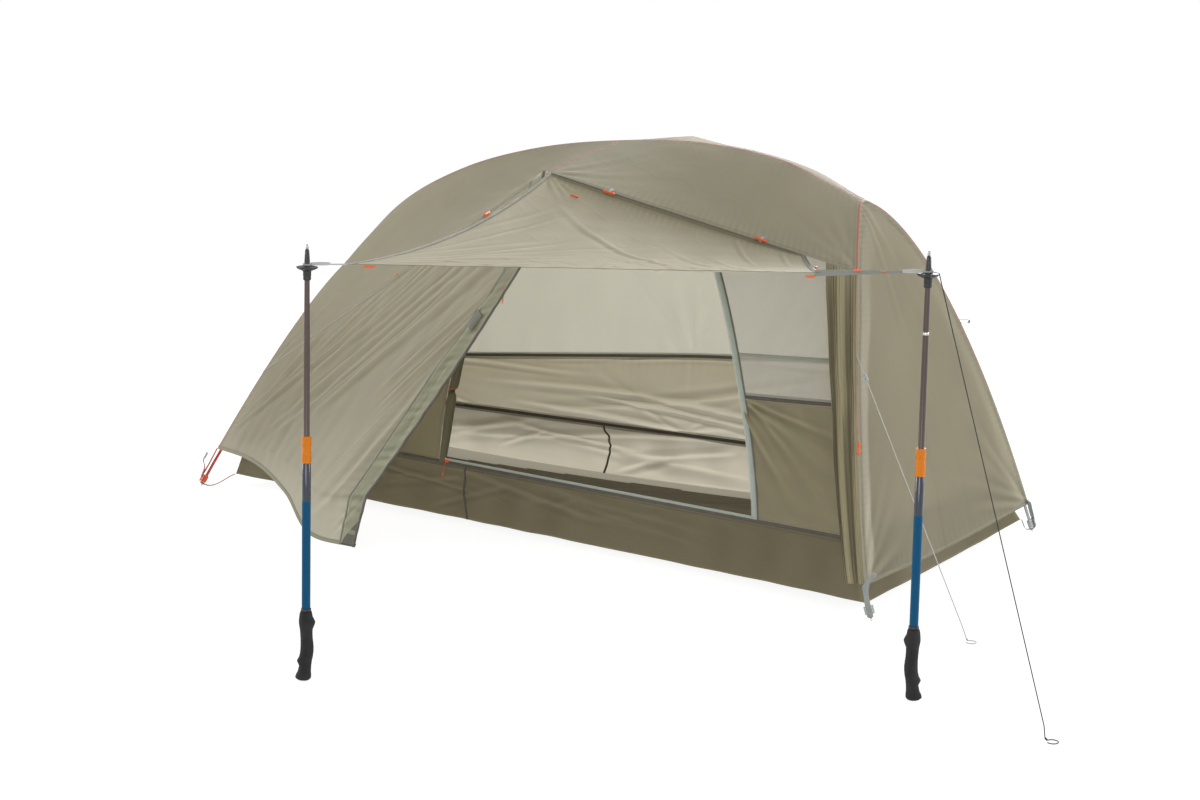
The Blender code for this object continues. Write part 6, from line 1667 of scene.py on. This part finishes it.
def tensioner():
    """A small moulded line lock that the guyline runs through."""
    place = placed(guy_start + guy_run * 0.06, guy_run, (0, -1, 0))
    out = place.to_3x3() @ Vector((1, 0, 0))
    parts = []
    for y in (-0.0034, 0.0034):
        parts.append(bar("tensioner_rail", *at(place, [(0, y, -0.011), (0, y, 0.011)]), 0.0026, 0.0056, out,
            grey_plastic, "tensioner"))
    for z in (-0.0085, -0.0005, 0.008):
        parts.append(bar("tensioner_rung", *at(place, [(0.0026, -0.0036, z), (0.0026, 0.0036, z)]), 0.003,
            0.0014, out, grey_plastic, "tensioner"))
    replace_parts(welded("line_lock", parts), "guy_tensioner")


tensioner()


# Sewn tapes, zips and pulls

def inside_line(grid, edge, distance):
    """The line on a panel at a distance in from one of its edges."""
    rows = {"near": grid.transpose(1, 0, 2), "far": grid[::-1].transpose(1, 0, 2), "left": grid,
        "right": grid[:, ::-1]}[edge]
    return np.array([at_lengths(row, lengths(row), distance) for row in rows])


def band_squares(line, beside, outside):
    """Directions square to a band that runs along one line with another line beside it."""
    squares = np.cross(np.gradient(line, axis=0), beside - line)
    squares /= np.linalg.norm(squares, axis=1)[:, None] + 1e-12
    return squares * np.sign(np.sum(squares * outside))


def sewn(cloth_name, made):
    sewn_on.setdefault(cloth_name, []).append(made)


def tape_on(name, cloth_name, grid, edge, inside, width, material, outside, span=(0.0, 1.0), lift=0.0,
        cells=160):
    """A tape sewn along a panel at a distance in from one edge. Gives back its line and outward directions."""
    line = inside_line(grid, edge, inside)
    squares = band_squares(line, inside_line(grid, edge, inside + 0.012), outside)
    kept = slice(int(span[0] * (len(line) - 1)), int(span[1] * (len(line) - 1)) + 1)
    line, squares = line[kept], squares[kept]
    run = lengths(line)
    steps = np.linspace(0.0, run[-1], cells + 1)
    line, squares = at_lengths(line, run, steps), at_lengths(squares, run, steps)
    sewn(cloth_name, strap(name, line + squares * lift, squares, width, material, 0.0011))
    return line, squares


def build_repeats():
    """A tree that sets one small bar on every step of a line, each turned to the line's own aim."""
    tree = bpy.data.node_groups.new("bars along a line", "GeometryNodeTree")
    for label, kind, value in (("Geometry", "Geometry", None), ("Pitch", "Float", 0.0015),
            ("Bar length", "Float", 0.004), ("Bar radius", "Float", 0.0005), ("Sides", "Int", 6),
            ("Seed", "Int", 7), ("Material", "Material", None)):
        socket = tree.interface.new_socket(name=label, in_out="INPUT", socket_type=f"NodeSocket{kind}")
        if value is not None:
            socket.default_value = value
    tree.interface.new_socket(name="Geometry", in_out="OUTPUT", socket_type="NodeSocketGeometry")

    def add(kind, **settings):
        node = tree.nodes.new(kind)
        for key, value in settings.items():
            setattr(node, key, value)
        return node

    given, result = add("NodeGroupInput"), add("NodeGroupOutput")
    line = add("GeometryNodeMeshToCurve")
    steps = add("GeometryNodeResampleCurve", mode="LENGTH")
    tooth = add("GeometryNodeMeshCylinder", fill_type="NGON")
    bars = add("GeometryNodeInstanceOnPoints")
    aim = add("GeometryNodeInputNamedAttribute", data_type="FLOAT_VECTOR")
    aim.inputs["Name"].default_value = "aim"
    turn = add("FunctionNodeAlignRotationToVector", axis="Z")
    chance = add("FunctionNodeRandomValue", data_type="FLOAT")
    chance.inputs[2].default_value, chance.inputs[3].default_value = 0.93, 1.05
    real, colour = add("GeometryNodeRealizeInstances"), add("GeometryNodeSetMaterial")
    for start, output, end, socket in ((given, "Geometry", line, 0), (line, 0, steps, "Curve"),
            (given, "Pitch", steps, "Length"), (given, "Sides", tooth, "Vertices"),
            (given, "Bar radius", tooth, "Radius"), (given, "Bar length", tooth, "Depth"),
            (aim, "Attribute", turn, "Vector"), (given, "Seed", chance, "Seed"), (steps, 0, bars, "Points"),
            (tooth, "Mesh", bars, "Instance"), (turn, 0, bars, "Rotation"), (chance, 1, bars, "Scale"),
            (bars, 0, real, 0), (real, 0, colour, "Geometry"), (given, "Material", colour, "Material"),
            (colour, 0, result, 0)):
        tree.links.new(start.outputs[output], end.inputs[socket])
    return tree


repeats_tree = build_repeats()


def bars_along(name, cloth_name, line, aims, pitch, bar_length, bar_radius, material):
    """Zip teeth or stitches set along a line of a cloth by the tree of repeats, as one finished mesh."""
    mesh = bpy.data.meshes.new(name)
    mesh.from_pydata([tuple(point) for point in line], [(index, index + 1) for index in range(len(line) - 1)],
        [])
    mesh.attributes.new("aim", "FLOAT_VECTOR", "POINT").data.foreach_set("vector",
        np.asarray(aims, float).ravel())
    guide = in_scene(name, mesh)
    layer = guide.modifiers.new("bars", "NODES")
    layer.node_group = repeats_tree
    sockets = {item.name: item.identifier for item in repeats_tree.interface.items_tree if item.in_out
        == "INPUT"}
    for label, value in {"Pitch": pitch, "Bar length": bar_length, "Bar radius": bar_radius, "Sides": 6,
            "Seed": 7, "Material": material}.items():
        layer[sockets[label]] = value
    bpy.context.view_layer.update()
    ready = bpy.data.meshes.new_from_object(guide.evaluated_get(bpy.context.evaluated_depsgraph_get()))
    bpy.data.objects.remove(guide)
    made = in_scene(name, ready)
    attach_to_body(made, "tent")
    sewn(cloth_name, made)


def coil(name, cloth_name, line, squares, material):
    across = np.cross(np.gradient(line, axis=0), squares)
    across /= np.linalg.norm(across, axis=1)[:, None]
    bars_along(name, cloth_name, line + squares * 0.001 + across * 0.0012, across, 0.0015, 0.0042, 0.00055,
        material)


def stitches(name, cloth_name, line, squares, material, offset=0.0, lift=0.0007):
    slopes = np.gradient(line, axis=0)
    slopes /= np.linalg.norm(slopes, axis=1)[:, None]
    across = np.cross(slopes, squares)
    bars_along(name, cloth_name, line + squares * lift + across * offset, slopes + across * 0.12, 0.0042, 0.003,
        0.00028, material)


def storm_flap():
    """The sheer strip along the vestibule's zip, with the coil at its inner edge and a dark binding outside."""
    def zip_line(distance, grid=vestibule_grid):
        return inside_line(grid, "left", distance)

    edge = zip_line(0.0006)
    beyond = np.stack([np.convolve(np.pad(part, 30, mode="edge"), np.full(61, 1 / 61),
        mode="valid") for part in (edge - zip_line(0.04)).T], axis=1)
    beyond /= np.linalg.norm(beyond, axis=1)[:, None]
    reach = 0.03 * np.sin(math.pi * shares(len(edge))[:, None]) ** 0.75
    columns = [edge + beyond * reach * share for share in np.linspace(1.0, 0.12, 8)]
    columns += [zip_line(0.0006 + share * 0.056) for share in shares(22)]
    across = shares(len(columns))[None, :]
    grid = np.stack(columns, axis=1)
    square = outward_square(grid, (0.1, 0.3, 0.3))
    run = lengths(grid[:, 8])[:, None]
    chance = np.random.default_rng(131)
    wave = np.zeros_like(run)
    for number in range(9):
        wave = wave + np.sin(run / chance.uniform(0.022, 0.11) * math.tau + chance.uniform(0,
            6.28) + across * chance.uniform(-2.5, 2.5)) * chance.uniform(0.3, 1.0)
    rise = 0.0022 + (0.0007 * wave + 0.0036) * np.sin(math.pi * (0.12 + 0.88 * across)) ** 0.8
    grid = grid + square * np.maximum(rise, 0.0013)[:, :, None]
    lay_cloth("fly_storm_flap", grid, flap_cloth, stitched=("left", "right"),
        outside=square)
    outward = vestibule_square[:, 0]
    tape_on("flap_binding", "fly_storm_flap", grid, "left", 0.004, 0.0085, trim_tape, outward, lift=0.0006,
        cells=260)
    line, squares = tape_on("flap_zip_tape", "fly_vestibule", vestibule_grid, "left", 0.06, 0.007, fly_tape,
        outward, lift=0.0009, cells=260)
    coil("flap_zip_coil", "fly_vestibule", line + squares * 0.0014, squares, cloth_teeth)
    patch_line = zip_line(0.03)
    whole = lengths(patch_line)
    inside = (whole > whole[-1] * 0.335) & (whole < whole[-1] * 0.385)
    kept = patch_line[inside]
    side = band_squares(kept, zip_line(0.042)[inside], outward[0])
    sewn("fly_storm_flap", strap("flap_patch", evenly(kept, 14) + side[0] * 0.0066, side[0], 0.04, dark_tape,
        0.0012))
    foot = vestibule_grid[-40:]
    rows = [(-1 - int(share * 12), max(0.052 * (1.0 - share ** 1.6), 0.002)) for share in shares(14)]
    corner = np.array([zip_line(reach, foot)[row] for row, reach in rows])
    base = np.array([zip_line(0.001, foot)[row] for row, reach in rows])
    quilt = base[:, None] + (corner[:, None] - base[:, None]) * shares(9)[None, :, None]
    lift = outward_square(quilt, (0.1, 0.3, 0.3))
    lay_cloth("fly_corner_patch", quilt + lift * 0.0062, trim_cloth, stitched=(),
        outside=lift)


storm_flap()


def height_line(grid, height):
    """The line across the head side of the front wall at one height."""
    cells = 6 * FINE + 1
    return np.array([at_lengths(row[-cells:], -row[-cells:, 2], -height) for row in grid])


def inner_trims():
    """Bindings and zips of the inner tent, along the real edges of its panels."""
    toward_door = np.array([0.0, -1.0, 0.0])

    def edging(name, cloth_name, line, facing, width, material, thickness):
        sewn(cloth_name, strap(name, line, facing, width, material, thickness))

    tape_on("rear_seam_tape", "inner_rear_net", rear_net_grid, "far", 0.002, 0.009, dark_tape, -toward_door,
        cells=260)
    top = tub_rim_ring()[0]
    rim = np.vstack([top, top[:1]])
    edging("tub_binding", "floor_sheet", rim + UP * 0.0006, rim * np.array([1.0, 1.0, 0.0]), 0.0105, trim_tape,
        0.0036)
    open_side = door_band[:, int(door_band.shape[1] * 0.28):]
    line, squares = tape_on("door_tape", "inner_front_net", open_side, "far", 0.0065, 0.013, pale_tape,
        toward_door, lift=0.0009, cells=380)
    edge = inside_line(open_side, "far", 0.0002)
    coil("door_coil", "inner_front_net", edge, band_squares(edge, inside_line(open_side, "far", 0.012),
        toward_door), pale_teeth)
    stitches("door_stitches", "inner_front_net", line, squares, pale_teeth, offset=0.0045, lift=0.0009)
    tape_on("door_binding", "inner_front_net", open_side, "far", 0.0155, 0.005, dark_tape, toward_door,
        lift=0.0006, cells=420)
    sill = evenly([door_line[0], door_line[-1]], 200) + UP * 0.0062
    facing = np.tile(toward_door, (len(sill), 1))
    edging("sill_tape", "floor_sheet", sill, facing, 0.0115, pale_tape, 0.0012)
    coil("sill_coil", "floor_sheet", sill + np.array([0.0, -0.0004, 0.0062]), facing, pale_teeth)
    for name, height, width, material in (("net_seam", 0.585, 0.0085, pale_seam_tape),
            ("pocket_top", POCKET_TOP, 0.01, trim_tape)):
        across, above = height_line(door_band, height), height_line(door_band, height + 0.012)
        edging(f"{name}_tape", "inner_front_net", evenly(across, 60), band_squares(across, above,
            toward_door).mean(axis=0), width, material, 0.0014)
    edge = door_band[0][-(6 * FINE + 1):]
    edge = edge[edge[:, 2] < POCKET_TOP]
    edging("leg_side_binding", "inner_pocket_panel", evenly(edge, 60) + toward_door * 0.0012, toward_door,
        0.012, trim_tape, 0.0014)
    for side_name, sign, bow in (("rear", 1, 0.02), ("front", -1, -0.012)):
        column = min(range(tub_grid.shape[1]), key=lambda place: abs(tub_grid[0, place,
            0] + 0.225) + (tub_grid[0, place, 1] * sign < 0) * 9)
        wall = tub_grid[0:TUB_ROWS, column].copy()
        wall[:, 0] += bow * np.sin(math.pi * shares(TUB_ROWS))
        away = np.array([0.0, float(sign), 0.0])
        edging(f"{side_name}_wall_seam", "floor_sheet", evenly(wall, 30) + away * 0.0006, away, 0.0075,
            trim_tape, 0.0022)


inner_trims()


def fly_trims():
    """Hem tapes, seam tapes and stitches of the rainfly."""
    door_out = (0.0, -1.0, 0.3)
    hem = (0.006, 0.011, seam_tape, -0.0008, 0.004, 0.0007)
    for name, panel, grid, edge, outward, (inside, width, tape, lift, offset,
            stitch_lift) in (("head_hem", "head_side", fly_grids["head_side"], "far", (1.0, 0.0, 0.0), hem),
            ("foot_hem", "foot_side", fly_grids["foot_side"], "far", (-1.0, 0.0, 0.0), hem),
            ("rear_hem", "rear_side", fly_grids["rear_side"], "far", (0.0, 1.0, 0.0), hem),
            ("vestibule_hem", "vestibule", vestibule_grid, "far", door_out, hem),
            ("vestibule_seam", "vestibule", vestibule_grid, "near", door_out,
            (0.005, 0.003, pale_hem_tape, 0.0006, 0.002, 0.0013)), ("awning_front", "awning", awning_grid,
            "far", UP, (0.005, 0.009, pale_hem_tape, 0.0006, 0.003, 0.0012))):
        line, squares = tape_on(f"{name}_tape", f"fly_{panel}", grid, edge, inside, width, tape,
            np.array(outward), lift=lift)
        stitches(f"{name}_stitches", f"fly_{panel}", line, squares, pale_thread, offset, stitch_lift)
    tape_on("awning_zip_tape", "fly_awning", awning_grid, "near", 0.0008, 0.0042, seam_tape, UP, (0.01, 0.99),
        0.002)
    for edge, tape in (("left", fly_tape), ("right", dark_tape)):
        tape_on(f"awning_{edge}_tape", "fly_awning", awning_grid, edge, 0.005, 0.009, tape, UP, lift=0.0006)
    line = inside_line(awning_grid, "right", 0.0012)
    coil("awning_coil", "fly_awning", line, band_squares(line, inside_line(awning_grid, "right", 0.014), UP),
        zip_teeth)


fly_trims()


def pulls_on_cloth():
    """The small toggles sewn along the awning, the roof seams and the right strap."""
    strap_line = straight(awning_grid[-1, -1], np.array(pole_places["right"] @ Vector((0, 0, BASKET_HEIGHT))),
        40)
    places = ((awning_grid[:, 0], 0.36, (0.0, -0.003, 0.004), 1.7), (awning_grid[-1], 0.055,
        (0.0, -0.001, -0.004), 1.1), (awning_grid[-1], 0.985, (0.0, -0.001, -0.008), 0.9),
        (awning_grid[9], 0.155, (0.0, -0.004, 0.005), 1.1), (awning_grid[:, -1], 0.86, (0.004, -0.016, 0.01),
        1.2), (foot_seam, 0.5, (0.0, -0.008, 0.004), 0.7), (strap_line, 0.36, (0.0, -0.004, 0.006), 0.8),
        (strap_line, 0.62, (0.0, -0.003, 0.004), 0.6))
    steps = np.linspace(-1, 1, 15)
    girth = [0.5 + 0.5 * (1 - abs(share) ** 5) for share in steps]
    for number, (line, share, shift, size) in enumerate(places):
        index = int(share * (len(line) - 2))
        middle, along = line[index] + np.array(shift), unit(line[index + 1] - line[index])
        run = np.array([middle + along * step * 0.011 * size for step in steps])
        sweep(f"small_pull_{number + 1}_bar", run, circle(0.0026 * size, 14), orange_plastic, scale=girth)


pulls_on_cloth()


def webbing_loop(name, start, outward, upward, width=0.0055, reach=0.0125, material=None):
    """A flat loop sewn into a seam, standing out round a toggle."""
    outward, upward = unit(outward), unit(upward)
    arc = [start + outward * (reach - 0.005 + 0.005 * math.cos(turn)) + upward * (0.005 * math.sin(turn)) for
        turn in np.linspace(-0.5 * math.pi, 0.5 * math.pi, 9)]
    line = evenly(np.array([start - upward * 0.0046, *arc, start + upward * 0.0046 - outward * 0.004]), 40)
    facing = np.cross(np.gradient(line, axis=0), np.cross(outward, upward))
    strap(name, line, facing, width, material or pale_tape, 0.001)


for loop_number, loop_share in enumerate((0.215, 0.7)):
    loop_place = head_seam[0] + (head_seam[-1] - head_seam[0]) * loop_share
    loop_out = on_surface(flat_awning, min(loop_share / AWNING_SEAM_SHARE, 1.0), 0.03) - loop_place
    loop_out = unit(loop_out - seam_along * loop_out.dot(seam_along))
    loop_up = -np.cross(seam_along, loop_out)
    webbing_loop(f"seam_loop_{loop_number + 1}", loop_place + loop_up * 0.003, loop_out, loop_up,
        material=white_webbing)
    roof_up = np.array([0.0, -loop_place[1], 1.09 - loop_place[2]])
    roof_up = unit(roof_up - seam_along * roof_up.dot(seam_along))
    roof_out = np.cross(seam_along, roof_up) * (1 if np.cross(seam_along, roof_up)[2] > 0 else -1)
    strap(f"seam_stub_{loop_number + 1}", np.array([loop_place + roof_up * reach + roof_out * 0.0034 for reach
        in (0.013, 0.009, 0.005, 0.001, -0.003)]), roof_out, 0.0058, white_webbing, 0.0012)
webbing_loop("leg_loop", leg_place[0] + leg_outward * 0.0028, leg_outward * 0.6 + np.array([0, 0, -0.8]),
    np.cross(unit(leg_place[1] - leg_place[0]), leg_outward))
guy_tab = leg_lines["head_rear"][int(len(leg_lines["head_rear"]) * 0.37)]
webbing_loop("rear_guy_tab", guy_tab + np.array([0.001, 0.003, 0.0]), (0.7, 0.72, -0.05), (0.0, 0.0, 1.0),
    0.013, 0.024, grey_webbing)


# Floor, backdrop and light

def stage_and_light():
    bpy.ops.mesh.primitive_plane_add(size=300.0, location=(0.0, 0.0, -0.0015))
    floor = bpy.context.object
    floor.name = "studio_floor"
    material, make, shader, surface = new_material("studio floor")
    shade = make.noise(make.place(), 0.6, 2.0)
    make.fill(shader, {"Base Color": make.blend(shade, (0.84,) * 3, (0.87,) * 3), "Roughness": 0.9})
    glow = make.fill(make.add("Emission"), {"Color": (1.0,) * 3, "Strength": 1.24})
    make.put(surface, make.mixed(make.maths("MULTIPLY", make.seen(), 0.72), shader.outputs[0], glow))
    floor.data.materials.append(material)

    world = bpy.data.worlds.new("studio")
    bpy.context.scene.world = world
    world.use_nodes = True
    tree = Recipe(world.node_tree)
    strength = tree.span(tree.seen(), 0.0, 1.0, 0.505, 1.0)
    tree.fill(world.node_tree.nodes["Background"], {"Color": (1.0,) * 3, "Strength": strength})
    for name, place, aim, size, power, colour in (("left", (-4.4, -2.6, 1.9), (0.0, -0.2, 0.5), 2.2, 106.0,
            (1.0, 0.99, 0.97)), ("behind", (-0.6, 4.4, 2.6), (0.0, 0.0, 0.4), 3.5, 235.0, (1.0, 1.0, 1.0)),
            ("right", (4.6, 1.4, 2.2), (0.6, 0.0, 0.5), 2.4, 75.0, (1.0, 1.0, 1.0)),
            ("front", (2.9, -6.0, 2.0), (0.2, -0.2, 0.4), 3.0, 84.0, (1.0, 0.99, 0.97))):
        lamp = bpy.data.lights.new(name, "AREA")
        lamp.shape, lamp.size, lamp.energy, lamp.color = "DISK", size, power, colour
        place = Vector(place)
        turn = (place - Vector(aim)).to_track_quat("Z", "Y").to_matrix().to_4x4()
        in_scene(name, lamp).matrix_world = Matrix.Translation(place) @ turn


stage_and_light()
bpy.context.scene.view_settings.view_transform = "Standard"
